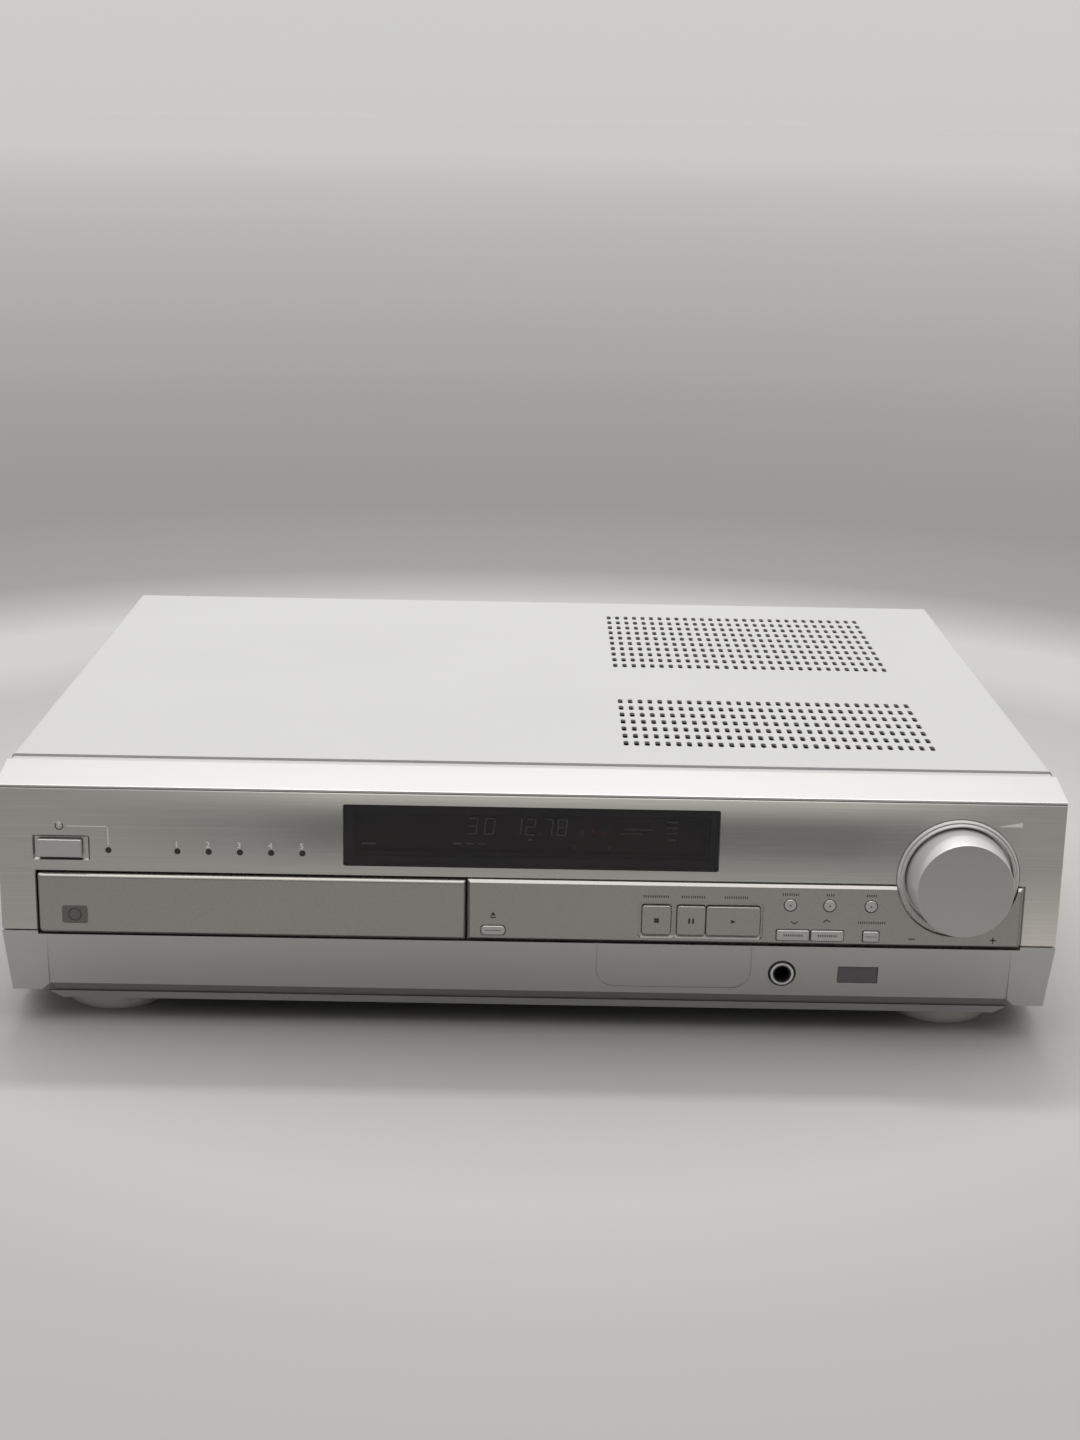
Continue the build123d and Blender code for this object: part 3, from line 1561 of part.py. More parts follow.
with BuildPart() as power_modules:
    with BuildSketch(Plane.XY.offset(board_top + power_module_lift)):
        with Locations((span(sink_left, sink_right), at(sink_front - power_module_thickness / 2))):
            with GridLocations(power_module_width + power_module_gap, 1, 2, 1):
                Rectangle(power_module_width, power_module_thickness)
    extrude(amount=power_module_height)
    with BuildSketch(Plane.XY.offset(board_top)):
        with Locations((span(sink_left, sink_right), at(sink_front - power_module_thickness / 2))):
            with GridLocations(power_module_width + power_module_gap, 1, 2, 1):
                Rectangle(power_module_width - 2 * power_module_leg_inset, power_module_leg)
    extrude(amount=power_module_lift + lap)
save(power_modules, "power_modules")

# Reservoir capacitors below the front vents, with smaller ones beside them
with BuildPart() as capacitors:
    with BuildSketch(Plane.XY.offset(board_top)):
        with Locations((vent_middle_x, at(front_vent_depth))):
            with GridLocations(capacitor_pitch, capacitor_pitch, capacitor_columns, capacitor_rows):
                Circle(capacitor_radius)
    extrude(amount=capacitor_height)
    fillet(capacitors.faces().group_by(Axis.Z)[-1].edges(), capacitor_edge)
    with BuildSketch(Plane.XY.offset(board_top)):
        with Locations((vent_middle_x, at(front_vent_depth + small_capacitor_back))):
            with GridLocations(
                small_capacitor_pitch_x,
                small_capacitor_pitch_y,
                small_capacitor_columns,
                capacitor_rows,
            ):
                Circle(small_capacitor_radius)
    extrude(amount=small_capacitor_height)
save(capacitors, "capacitors")

# Mains transformer: laminated core and its winding
transformer_middle = (transformer_x, at(transformer_depth))
with BuildPart() as transformer_core:
    with BuildSketch(Plane.XZ.offset(-at(transformer_depth - transformer_stack / 2))):
        with Locations((transformer_x, pan_top + transformer_height / 2)):
            Rectangle(transformer_width, transformer_height)
            for side in (-1, 1):
                with Locations((side * (core_leg_width + core_window_width) / 2, 0)):
                    Rectangle(core_window_width, core_window_height, mode=Mode.SUBTRACT)
    extrude(amount=-transformer_stack)
    with BuildSketch(Plane.XY.offset(pan_top)):
        with Locations(transformer_middle):
            Rectangle(transformer_width + 2 * core_foot, transformer_stack)
    extrude(amount=core_foot_height)
save(transformer_core, "transformer_core")

with BuildPart() as transformer_winding:
    winding_height = core_window_height - 2 * fit
    inner_half = core_leg_width / 2 + fit
    outer_half = core_leg_width / 2 + core_window_width - fit
    with BuildSketch(Plane.XY.offset(pan_top + (transformer_height - winding_height) / 2)):
        with Locations(transformer_middle):
            RectangleRounded(2 * outer_half, transformer_length, winding_corner)
            Rectangle(2 * inner_half, transformer_stack + 2 * fit, mode=Mode.SUBTRACT)
    extrude(amount=winding_height)
save(transformer_winding, "transformer_winding")

# Tuner box with its aerial socket, whose barrel starts just behind the rear panel
barrel_front = panel_back + barrel_neck
with BuildPart() as tuner_module:
    with BuildSketch(Plane.XY.offset(tuner_bottom)):
        with Locations((span(tuner_left, tuner_right), at(panel_front - tuner_length / 2))):
            Rectangle(tuner_right - tuner_left, tuner_length)
    extrude(amount=tuner_top - tuner_bottom)
    with BuildSketch(upright(panel_front)):
        with Locations((aerial_x, aerial_z)):
            Circle(aerial_radius - neck_step)
            Circle(aerial_bore_radius, mode=Mode.SUBTRACT)
    extrude(amount=-(barrel_front - panel_front))
    with BuildSketch(upright(barrel_front)):
        with Locations((aerial_x, aerial_z)):
            Circle(aerial_radius)
            Circle(aerial_bore_radius, mode=Mode.SUBTRACT)
    extrude(amount=-(rear_end - barrel_front))
    with BuildSketch(upright(panel_front)):
        with Locations((aerial_x, aerial_z)):
            Circle(aerial_pin_radius)
    extrude(amount=-(rear_end - panel_front - aerial_pin_set_back))
save(tuner_module, "tuner_module")

# Phono sockets: two rows on one block
phono_body_top = phono_z + phono_row_pitch / 2 + phono_body_rise
with BuildPart() as phono_sockets:
    with BuildSketch(upright(panel_front - phono_body)):
        with Locations((phono_x, span(board_top, phono_body_top))):
            Rectangle(phono_columns * phono_pitch, phono_body_top - board_top)
    extrude(amount=-phono_body)
    with BuildSketch(upright(panel_front)):
        with Locations((phono_x, phono_z)):
            with GridLocations(phono_pitch, phono_row_pitch, phono_columns, 2):
                Circle(phono_radius - neck_step)
    extrude(amount=-(barrel_front - panel_front))
    with BuildSketch(upright(barrel_front)):
        with Locations((phono_x, phono_z)):
            with GridLocations(phono_pitch, phono_row_pitch, phono_columns, 2):
                Circle(phono_radius)
    extrude(amount=-(rear_end - barrel_front))
    with BuildSketch(upright(rear_end)):
        with Locations((phono_x, phono_z)):
            with GridLocations(phono_pitch, phono_row_pitch, phono_columns, 2):
                Circle(phono_bore_radius)
    extrude(amount=phono_bore_depth, mode=Mode.SUBTRACT)
save(phono_sockets, "phono_sockets")

# Speaker sockets: six plug openings in one block
with BuildPart() as speaker_sockets:
    speaker_back = panel_back + speaker_proud
    speaker_middle = (span(speaker_left, speaker_right), span(speaker_bottom, speaker_top))
    socket_pitch_x = (speaker_right - speaker_left) / speaker_columns
    socket_pitch_z = (speaker_top - speaker_bottom) / 2
    with BuildSketch(upright(speaker_back - socket_body)):
        with Locations(speaker_middle):
            Rectangle(speaker_right - speaker_left, speaker_top - speaker_bottom)
    extrude(amount=-socket_body)
    with BuildSketch(upright(speaker_back)):
        with Locations(speaker_middle):
            with GridLocations(socket_pitch_x, socket_pitch_z, speaker_columns, 2):
                Rectangle(socket_width, socket_height)
    extrude(amount=socket_depth, mode=Mode.SUBTRACT)
    with BuildSketch(upright(speaker_back - socket_body)):
        with Locations((speaker_middle[0], span(board_top, speaker_bottom))):
            Rectangle(speaker_right - speaker_left - 2 * socket_foot_inset, speaker_bottom - board_top)
    extrude(amount=-socket_foot)
save(speaker_sockets, "speaker_sockets")

# Mains inlet with two pins
with BuildPart() as ac_inlet:
    inlet_back = panel_back + inlet_proud
    with BuildSketch(upright(inlet_back - inlet_body)):
        with Locations((inlet_x, inlet_z)):
            Rectangle(inlet_width, inlet_height)
    extrude(amount=-inlet_body)
    with BuildSketch(upright(inlet_back)):
        with Locations((inlet_x, inlet_z)):
            SlotOverall(inlet_socket_width, inlet_socket_height)
    extrude(amount=inlet_socket_depth, mode=Mode.SUBTRACT)
    with BuildSketch(upright(inlet_back - inlet_pin_set_back)):
        with Locations((inlet_x, inlet_z)):
            with GridLocations(inlet_socket_width - inlet_socket_height, 1, 2, 1):
                Circle(inlet_pin_radius)
    extrude(amount=inlet_socket_depth - inlet_pin_set_back + inlet_pin_root)
save(ac_inlet, "ac_inlet")

# Fan: square frame on the rear panel, hub plate with spokes, and the rotor
with BuildPart() as fan_frame:
    with BuildSketch(upright(panel_front - fan_thickness)):
        with Locations((fan_x, fan_z)):
            RectangleRounded(fan_size, fan_size, fan_corner)
            Circle(fan_bore_radius, mode=Mode.SUBTRACT)
    extrude(amount=-fan_thickness)
    with BuildSketch(upright(panel_front - fan_plate)):
        with Locations((fan_x, fan_z)):
            Circle(fan_hub_radius)
            with PolarLocations(span(fan_hub_radius, fan_bore_radius), fan_spokes, start_angle=30):
                Rectangle(fan_bore_radius - fan_hub_radius + 2 * fan_root, fan_spoke_width)
    extrude(amount=-fan_plate)
    with BuildSketch(upright(panel_front - fan_thickness + fan_pin_inset)):
        with Locations((fan_x, fan_z)):
            Circle(pin_radius)
    extrude(amount=-(fan_thickness - fan_pin_inset))
save(fan_frame, "fan_frame")

with BuildPart() as fan_rotor:
    rotor_front = panel_front - fan_thickness + rotor_front_gap
    rotor_length = fan_thickness - fan_plate - rotor_front_gap - rotor_rear_gap
    with BuildSketch(upright(rotor_front)):
        with Locations((fan_x, fan_z)):
            Circle(fan_hub_radius)
    extrude(amount=-rotor_length)
    with BuildSketch(upright(rotor_front + rotor_cap)):
        with Locations((fan_x, fan_z)):
            Circle(pin_radius + running_fit)
    extrude(amount=-fan_thickness, mode=Mode.SUBTRACT)
    blade_reach = fan_blade_radius - fan_hub_radius + fan_root
    for blade in range(fan_blades):
        turn = 360 * blade / fan_blades
        blade_plane = Plane(
            origin=(fan_x, at(rotor_front + rotor_length / 2), fan_z),
            x_dir=(0, 1, 0),
            z_dir=(math.cos(math.radians(turn)), 0, math.sin(math.radians(turn))),
        )
        with BuildSketch(blade_plane.offset(fan_hub_radius - fan_root)):
            Rectangle(rotor_length, blade_thickness, rotation=blade_angle)
        extrude(amount=blade_reach)
save(fan_rotor, "fan_rotor")
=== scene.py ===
import bmesh
import bpy
import json
import math
from mathutils import Matrix, Vector


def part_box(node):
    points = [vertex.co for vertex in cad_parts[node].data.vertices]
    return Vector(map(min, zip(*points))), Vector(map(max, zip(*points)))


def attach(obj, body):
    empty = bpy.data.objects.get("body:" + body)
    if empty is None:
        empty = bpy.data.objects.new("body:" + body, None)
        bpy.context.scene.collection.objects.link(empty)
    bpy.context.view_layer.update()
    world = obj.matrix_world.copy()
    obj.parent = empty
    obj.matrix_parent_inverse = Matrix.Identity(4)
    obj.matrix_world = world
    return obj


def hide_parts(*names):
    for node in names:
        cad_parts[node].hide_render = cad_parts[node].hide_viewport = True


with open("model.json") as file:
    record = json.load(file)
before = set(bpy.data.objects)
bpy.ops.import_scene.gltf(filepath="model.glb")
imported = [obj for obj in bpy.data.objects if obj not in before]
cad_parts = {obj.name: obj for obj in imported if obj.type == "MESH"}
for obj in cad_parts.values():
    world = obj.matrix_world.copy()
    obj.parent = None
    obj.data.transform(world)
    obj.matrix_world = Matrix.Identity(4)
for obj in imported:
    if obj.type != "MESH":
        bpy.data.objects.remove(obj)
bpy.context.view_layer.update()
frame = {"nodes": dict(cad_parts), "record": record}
cadNodes = frame["nodes"]
bodyOf = {}
for bodyName, nodeNames in frame["record"]["behaviour"]["bodies"].items():
    for nodeName in nodeNames:
        bodyOf[nodeName] = bodyName
mm = 0.001
print("frame loaded:", len(cadNodes), "nodes")

# middle of a node along X, Y or Z
def middle(node, axis):
    low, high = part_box(node)
    return (low[axis] + high[axis]) / 2

# places read from the frame, in metres
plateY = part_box("face_plate")[0].y
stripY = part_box("control_strip")[0].y
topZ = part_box("top_cover")[1].z
printThickness = 0.04 * mm  # how far a print stands out of its surface

# Materials. A finish has a name, a colour and its shader values; noise is stretched in object space.
# Grain is in repeats per metre; the two "Along" values run along the lines of drawn metal.
grain = {
    "flake": 2600,
    "drift": 9,
    "peel": 900,
    "hair": 5200,
    "hairAlong": 14,
    "streak": 420,
    "streakAlong": 2,
    "print": 4000,
    "smoke": 22,
    "smokeUp": 40,
}
wavePitch = 0.31416  # metres between the ridges of a wave texture of scale 1

def startMaterial(name, color, roughness, metallic=0.0, **sockets):
    mat = bpy.data.materials.new(name)
    mat.use_nodes = True
    shader = shaderOf(mat)
    shader.inputs["Base Color"].default_value = (*color, 1)
    shader.inputs["Roughness"].default_value = roughness
    shader.inputs["Metallic"].default_value = metallic
    for socket, value in sockets.items():
        shader.inputs[socket.replace("_", " ")].default_value = value
    return mat

def shaderOf(mat):
    return mat.node_tree.nodes["Principled BSDF"]

def addNode(tree, kind, **settings):
    made = tree.nodes.new(kind)
    for key, value in settings.items():
        if key in made.inputs:
            made.inputs[key].default_value = value
        else:
            setattr(made, key, value)
    return made

def join(tree, output, target):
    tree.links.new(output, target)

def mathOf(tree, operation, first, second):
    made = addNode(tree, "ShaderNodeMath", operation=operation)
    for place, value in enumerate((first, second)):
        if isinstance(value, (int, float)):
            made.inputs[place].default_value = value
        else:
            join(tree, value, made.inputs[place])
    return made.outputs["Value"]

# 0 to 1 between two values of a source
def spreadOf(tree, source, low, high):
    made = addNode(tree, "ShaderNodeMapRange")
    made.inputs["From Min"].default_value = low
    made.inputs["From Max"].default_value = high
    join(tree, source, made.inputs["Value"])
    return made.outputs["Result"]

# 1 past a limit, or short of it where the edge is negative, and 0 on the other side
def pastOf(tree, source, limit, edge):
    return spreadOf(tree, source, limit - edge, limit + edge)

# X, Y and Z of the object's own coordinates, or of another texture coordinate
def splitOf(tree, kind="Object"):
    where = addNode(tree, "ShaderNodeTexCoord")
    split = addNode(tree, "ShaderNodeSeparateXYZ")
    join(tree, where.outputs[kind], split.inputs["Vector"])
    return split.outputs

# noise with so many repeats per metre along each axis
def noiseOf(mat, stretch, detail, rough):
    tree = mat.node_tree
    where = addNode(tree, "ShaderNodeTexCoord")
    mapping = addNode(tree, "ShaderNodeMapping", Scale=stretch)
    made = addNode(tree, "ShaderNodeTexNoise", Scale=1.0, Detail=detail, Roughness=rough)
    join(tree, where.outputs["Object"], mapping.inputs["Vector"])
    join(tree, mapping.outputs["Vector"], made.inputs["Vector"])
    return made.outputs["Fac"]

def rampOf(tree, source, stops):
    made = addNode(tree, "ShaderNodeValToRGB")
    bar = made.color_ramp
    while len(bar.elements) < len(stops):
        bar.elements.new(0.5)
    for element, (place, color) in zip(bar.elements, stops):
        element.position = place
        element.color = (*color, 1)
    join(tree, source, made.inputs["Fac"])
    return made.outputs["Color"]

def multiplyColors(tree, first, second):
    made = addNode(tree, "ShaderNodeMix", data_type="RGBA", blend_type="MULTIPLY")
    made.inputs["Factor"].default_value = 1.0
    join(tree, first, made.inputs["A"])
    join(tree, second, made.inputs["B"])
    return made.outputs["Result"]

# what colours a material now
def paintOf(mat):
    return shaderOf(mat).inputs["Base Color"].links[0].from_socket

def paintWith(mat, *sources):
    result = sources[0]
    for source in sources[1:]:
        result = multiplyColors(mat.node_tree, result, source)
    join(mat.node_tree, result, shaderOf(mat).inputs["Base Color"])

# a shader socket that follows a source between two values
def valueWith(mat, socket, source, low, high):
    spread = addNode(mat.node_tree, "ShaderNodeMapRange")
    spread.inputs["To Min"].default_value = low
    spread.inputs["To Max"].default_value = high
    join(mat.node_tree, source, spread.inputs["Value"])
    join(mat.node_tree, spread.outputs["Result"], shaderOf(mat).inputs[socket])

def bumpWith(mat, source, height, strength):
    made = addNode(mat.node_tree, "ShaderNodeBump", Strength=strength, Distance=height)
    normal = shaderOf(mat).inputs["Normal"]
    if normal.is_linked:
        join(mat.node_tree, normal.links[0].from_socket, made.inputs["Normal"])
    join(mat.node_tree, source, made.inputs["Height"])
    join(mat.node_tree, made.outputs["Normal"], normal)

def tint(color, factor):
    return tuple(min(1.0, c * factor) for c in color)

def grey(value):
    return (value, value, value)

# greys of the room are a little warm
def warmGrey(value, blue):
    return (value, value * 0.99, value * blue)

# a colour that a source makes a little darker and lighter
def mottle(mat, source, color, darker, lighter, spread=0.2):
    stops = [(0.5 - spread, tint(color, darker)), (0.5 + spread, tint(color, lighter))]
    return rampOf(mat.node_tree, source, stops)

# painted or moulded surface: fine flake, a slow drift of tone and a soft orange peel
def satin(name, color, roughness, metallic=0.0, flake=0.04, drift=0.03, peel=0.012, uneven=0.03):
    mat = startMaterial(name, color, roughness, metallic)
    fine = noiseOf(mat, [grain["flake"]] * 3, 2, 0.6)
    slow = noiseOf(mat, [grain["drift"]] * 3, 3, 0.5)
    flakeColor = mottle(mat, fine, color, 1 - flake, 1 + flake)
    driftColor = mottle(mat, slow, grey(1.0), 1 - drift, 1.0)
    paintWith(mat, flakeColor, driftColor)
    valueWith(mat, "Roughness", fine, roughness - uneven, roughness + uneven)
    bumpWith(mat, noiseOf(mat, [grain["peel"]] * 3, 2, 0.5), peel * mm, 0.5)
    return mat

# drawn metal sheet: streaks along one axis, 0 for X
def hairline(name, color, roughness, along=0, streak=0.10, band=0.025, uneven=(0.07, 0.09), depth=0.006):
    mat = startMaterial(name, color, roughness, 1.0)
    fine = [grain["hair"]] * 3
    fine[along] = grain["hairAlong"]
    wide = [grain["streak"]] * 3
    wide[along] = grain["streakAlong"]
    lines = noiseOf(mat, fine, 4, 0.65)
    bands = noiseOf(mat, wide, 2, 0.5)
    lineColor = mottle(mat, lines, color, 1 - streak, 1 + streak)
    bandColor = mottle(mat, bands, grey(1.0), 1 - band, 1.0, 0.15)
    paintWith(mat, lineColor, bandColor)
    valueWith(mat, "Roughness", lines, roughness - uneven[0], roughness + uneven[1])
    bumpWith(mat, lines, depth * mm, 0.7)
    return mat

# printed ink, slightly uneven
def ink(name, color, roughness=0.55, darker=0.88, lighter=1.05):
    mat = startMaterial(name, color, roughness)
    fine = noiseOf(mat, [grain["print"]] * 3, 2, 0.5)
    paintWith(mat, mottle(mat, fine, color, darker, lighter))
    return mat

# windings or laminations: fine ridges, one after another along an axis
def layered(name, color, pitch, axis, roughness=0.5, metallic=0.0, ridge=0.2, waver=0.6):
    mat = satin(name, color, roughness, metallic)
    tree = mat.node_tree
    where = addNode(tree, "ShaderNodeTexCoord")
    wave = addNode(tree, "ShaderNodeTexWave", bands_direction=axis, Scale=wavePitch / pitch, Distortion=waver)
    join(tree, where.outputs["Object"], wave.inputs["Vector"])
    bumpWith(mat, wave.outputs["Fac"], ridge * mm, 0.8)
    return mat

finishes = {
    "painted_cover": satin("painted_cover", (0.52, 0.52, 0.515), 0.42, 0.1, flake=0.03),
    "steel_sheet": satin("steel_sheet", (0.36, 0.36, 0.355), 0.40, 0.8, flake=0.10, drift=0.14),
    "silver_plastic": satin("silver_plastic", (0.82, 0.81, 0.78), 0.34, 0.85, flake=0.03, peel=0.006),
    "bright_plastic": satin("bright_plastic", (0.60, 0.59, 0.575), 0.30, 0.75, flake=0.02),
    "hairline_plate": hairline("hairline_plate", (0.81, 0.805, 0.785), 0.30),
    "strip_plastic": satin("strip_plastic", (0.80, 0.775, 0.73), 0.28, 0.85, flake=0.03, peel=0.006),
    "knob_metal": satin("knob_metal", (0.77, 0.76, 0.74), 0.34, 0.6, flake=0.02, peel=0.006),
    "tube_glass": satin("tube_glass", (0.012, 0.008, 0.009), 0.2, flake=0.1),
    "foot_plastic": satin("foot_plastic", (0.66, 0.65, 0.60), 0.45),
    "black_plastic": satin("black_plastic", (0.020, 0.020, 0.022), 0.45, flake=0.15),
    "sensor_window": satin("sensor_window", (0.115, 0.10, 0.11), 0.18, flake=0.04),
    "lens_plastic": satin("lens_plastic", (0.02, 0.015, 0.015), 0.2),
    "circuit_board": satin("circuit_board", (0.30, 0.20, 0.07), 0.45, drift=0.12),
    "bright_metal": satin("bright_metal", (0.62, 0.61, 0.58), 0.22, 1.0, flake=0.03),
    "aluminium_fins": hairline("aluminium_fins", (0.55, 0.55, 0.55), 0.35, 2),
    "mechanism_plastic": satin("mechanism_plastic", (0.045, 0.045, 0.048), 0.5, flake=0.15),
    "gear_plastic": satin("gear_plastic", (0.62, 0.60, 0.54), 0.5),
    "belt_rubber": satin("belt_rubber", (0.015, 0.015, 0.015), 0.8),
    "steel_laminations": layered("steel_laminations", (0.10, 0.095, 0.09), 0.7 * mm, "Y", 0.5, 0.6),
    "copper_winding": layered("copper_winding", (0.52, 0.33, 0.07), 1.4 * mm, "Z", 0.45),
    "capacitor_sleeve": satin("capacitor_sleeve", (0.02, 0.03, 0.06), 0.3),
}
inks = {
    "light": ink("light_print", (0.88, 0.87, 0.82)),
    "dark": ink("dark_print", (0.035, 0.033, 0.03)),
    "soft": ink("soft_print", (0.15, 0.145, 0.135)),
    "segment": ink("unlit_segment", (0.9, 0.9, 0.86), 0.3),
    "red": ink("red_mark", (0.88, 0.16, 0.14), 0.4),
    "yellow": ink("yellow_insert", (0.62, 0.42, 0.02), 0.4),
    "white": ink("white_insert", (0.62, 0.61, 0.58), 0.4),
    "blue": ink("blue_insert", (0.03, 0.09, 0.40), 0.4),
    "green": ink("green_insert", (0.03, 0.22, 0.06), 0.4),
}

# smoked window: dark and see-through, a little redder in places
smoked = startMaterial("smoked_window", (0.012, 0.009, 0.012), 0.10, Alpha=0.5)
smokeTone = noiseOf(smoked, (grain["smoke"], grain["smoke"], grain["smokeUp"]), 2, 0.5)
smokeStops = [(0.35, (0.010, 0.010, 0.013)), (0.7, (0.022, 0.011, 0.014))]
paintWith(smoked, rampOf(smoked.node_tree, smokeTone, smokeStops))
finishes["smoked_window"] = smoked

# The drawn plate carries a painted reflection of the room as level bands, (height in mm, tone), darkest
# beside the window. Towards its ends, (x in mm, share), an even tone takes over, and the lower right corner
# has a painted highlight and is palest.
plateReflectionShape = {
    "reach": 215,
    "rise": 110,
    "bands": (
        (41, 0.66), (66, 0.64), (70, 0.60), (76, 0.47), (79, 0.40), (82, 0.355),
        (87, 0.325), (91, 0.375), (94, 0.50), (97, 0.71), (100.5, 1.0),
    ),
    "warmFrom": 0.5,
    "warm": 0.96,
    "ends": (
        (-200, 1.0), (-165, 0.85), (-113, 0.5), (-85, 0.1),
        (-70, 0.0), (130, 0.05), (150, 0.3), (200, 1.0),
    ),
    "endColor": (0.60, 0.605, 0.59),
    "cornerX": (178 * mm, 205 * mm),
    "cornerZ": (74 * mm, 44 * mm),
    "cornerHighlight": (0.93, 0.90, 0.86),
}

def plateTone(tone):
    return (tone, tone, tone if tone < plateReflectionShape["warmFrom"] else tone * plateReflectionShape["warm"])

# painted reflection and highlight: the bands, the even ends and the pale corner multiply into the plate's
# colour
platePaint = finishes["hairline_plate"]
plateTree = platePaint.node_tree
plateAt = splitOf(plateTree)
plateRise = mathOf(plateTree, "DIVIDE", plateAt["Z"], plateReflectionShape["rise"] * mm)
reflectionStops = [(z / plateReflectionShape["rise"], plateTone(tone)) for z, tone in plateReflectionShape["bands"]]
plateAcross = spreadOf(plateTree, plateAt["X"], -plateReflectionShape["reach"] * mm, plateReflectionShape["reach"] * mm)
endStops = [(0.5 + x / (2 * plateReflectionShape["reach"]), grey(share)) for x, share in plateReflectionShape["ends"]]
cornerAcross = spreadOf(plateTree, plateAt["X"], *plateReflectionShape["cornerX"])
cornerDown = spreadOf(plateTree, plateAt["Z"], *plateReflectionShape["cornerZ"])
cornerLightShare = mathOf(plateTree, "MULTIPLY", cornerAcross, cornerDown)
cornerLightStops = [(0.0, plateReflectionShape["endColor"]), (1.0, plateReflectionShape["cornerHighlight"])]
reflectionMix = addNode(plateTree, "ShaderNodeMix", data_type="RGBA")
join(plateTree, rampOf(plateTree, plateAcross, endStops), reflectionMix.inputs["Factor"])
join(plateTree, rampOf(plateTree, plateRise, reflectionStops), reflectionMix.inputs["A"])
join(plateTree, rampOf(plateTree, cornerLightShare, cornerLightStops), reflectionMix.inputs["B"])
paintWith(platePaint, paintOf(platePaint), reflectionMix.outputs["Result"])

# 0 to 1 as the part of the normal along an axis goes from low to high
def facingShare(mat, axis, low, high):
    return spreadOf(mat.node_tree, splitOf(mat.node_tree, "Normal")[axis], low, high)

# paint shade into a material: darken it by a factor that goes from first to second with a share
def shadeWith(mat, share, first, second):
    paintWith(mat, paintOf(mat), rampOf(mat.node_tree, share, [(0.0, grey(first)), (1.0, grey(second))]))

# painted light on the strip and silver plastics: faces turned to the front are darkened, upward faces get a
# painted highlight, and downward faces get painted shade
edgeLightShade = {
    "turned": (0.12, 0.5),
    "under": 0.35,
    "tones": {"strip_plastic": (0.44, 0.76), "silver_plastic": (0.61, 1.0)},
}
edgeFrom, edgeTo = edgeLightShade["turned"]
for slot, (front, upper) in edgeLightShade["tones"].items():
    shadeWith(finishes[slot], facingShare(finishes[slot], "Z", edgeFrom, edgeTo), front, upper)
    shadeWith(finishes[slot], facingShare(finishes[slot], "Z", -edgeFrom, -edgeTo), 1.0, edgeLightShade["under"])

# painted shade: the wall of the lower band's undercut is darkened where it lies in shade
undercutShadeShape = {"depth": 3.5 * mm, "top": 18.5 * mm, "reach": 196.1 * mm, "edge": 0.1 * mm, "shade": 0.43}
bandTree = finishes["silver_plastic"].node_tree
bandAt = splitOf(bandTree)
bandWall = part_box("lower_band")[0].y + undercutShadeShape["depth"]
bandDeep = pastOf(bandTree, bandAt["Y"], bandWall, undercutShadeShape["edge"])
bandLow = pastOf(bandTree, bandAt["Z"], undercutShadeShape["top"], -undercutShadeShape["edge"])
bandAcross = mathOf(bandTree, "ABSOLUTE", bandAt["X"], 0)
bandInside = pastOf(bandTree, bandAcross, undercutShadeShape["reach"], -undercutShadeShape["edge"])
undercutShadeShare = mathOf(bandTree, "MULTIPLY", mathOf(bandTree, "MULTIPLY", bandDeep, bandLow), bandInside)
shadeWith(finishes["silver_plastic"], undercutShadeShare, 1.0, undercutShadeShape["shade"])

# knob and ring: faces that look to the front get painted shade and are more metallic, the turned sides stay
# pale as if lit from above
knobLightShape = {"side": -0.70, "face": -0.99, "faceShade": 0.58, "sideMetal": 0.3, "faceMetal": 0.85}
knobMetal = finishes["knob_metal"]
knobFacing = facingShare(knobMetal, "Y", knobLightShape["side"], knobLightShape["face"])
shadeWith(knobMetal, knobFacing, 1.0, knobLightShape["faceShade"])
valueWith(knobMetal, "Metallic", knobFacing, knobLightShape["sideMetal"], knobLightShape["faceMetal"])
print("materials made:", len(bpy.data.materials))

# Meshes

def addPiece(name, mesh, mat, body):
    piece = bpy.data.objects.new(name, mesh)
    bpy.context.collection.objects.link(piece)
    mesh.materials.clear()
    mesh.materials.append(mat)
    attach(piece, body)
    return piece

# a mesh in a finish, by the name of its slot, or in an ink
def meshPiece(name, made, finish, body, smooth=False):
    mesh = bpy.data.meshes.new(name)
    made.to_mesh(mesh)
    made.free()
    for polygon in mesh.polygons:
        polygon.use_smooth = smooth
    if finish in finishes:
        return addPiece(name, mesh, finishes[finish], body)
    return addPiece(name, mesh, inks[finish], body)

# the same, with its faces turned outwards
def solidPiece(name, made, finish, body, smooth=False):
    bmesh.ops.recalc_face_normals(made, faces=made.faces)
    return meshPiece(name, made, finish, body, smooth)

# Round the edges of a copy of a CAD node and let it stand for the node. Points closer than weld are joined,
# faces within flat degrees become one, and edges sharper than angle degrees are rounded.
softShape = {"weld": 0.001 * mm, "flat": 0.6, "angle": 28, "segments": 2}

def softenNode(node, slot, radius):
    mesh = bpy.data.meshes.new(node + "_soft")
    made = bmesh.new()
    made.from_mesh(cadNodes[node].data)
    flat = math.radians(softShape["flat"])
    bmesh.ops.remove_doubles(made, verts=made.verts, dist=softShape["weld"])
    bmesh.ops.dissolve_limit(made, angle_limit=flat, verts=made.verts, edges=made.edges)
    made.to_mesh(mesh)
    made.free()
    for polygon in mesh.polygons:
        polygon.use_smooth = True
        polygon.material_index = 0
    piece = addPiece(node + "_soft", mesh, finishes[slot], bodyOf[node])
    bevel = piece.modifiers.new("rounding", "BEVEL")
    bevel.width = radius
    bevel.segments = softShape["segments"]
    bevel.limit_method = "ANGLE"
    bevel.angle_limit = math.radians(softShape["angle"])
    weights = piece.modifiers.new("weights", "WEIGHTED_NORMAL")
    weights.keep_sharp = True
    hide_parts(node)
    return piece

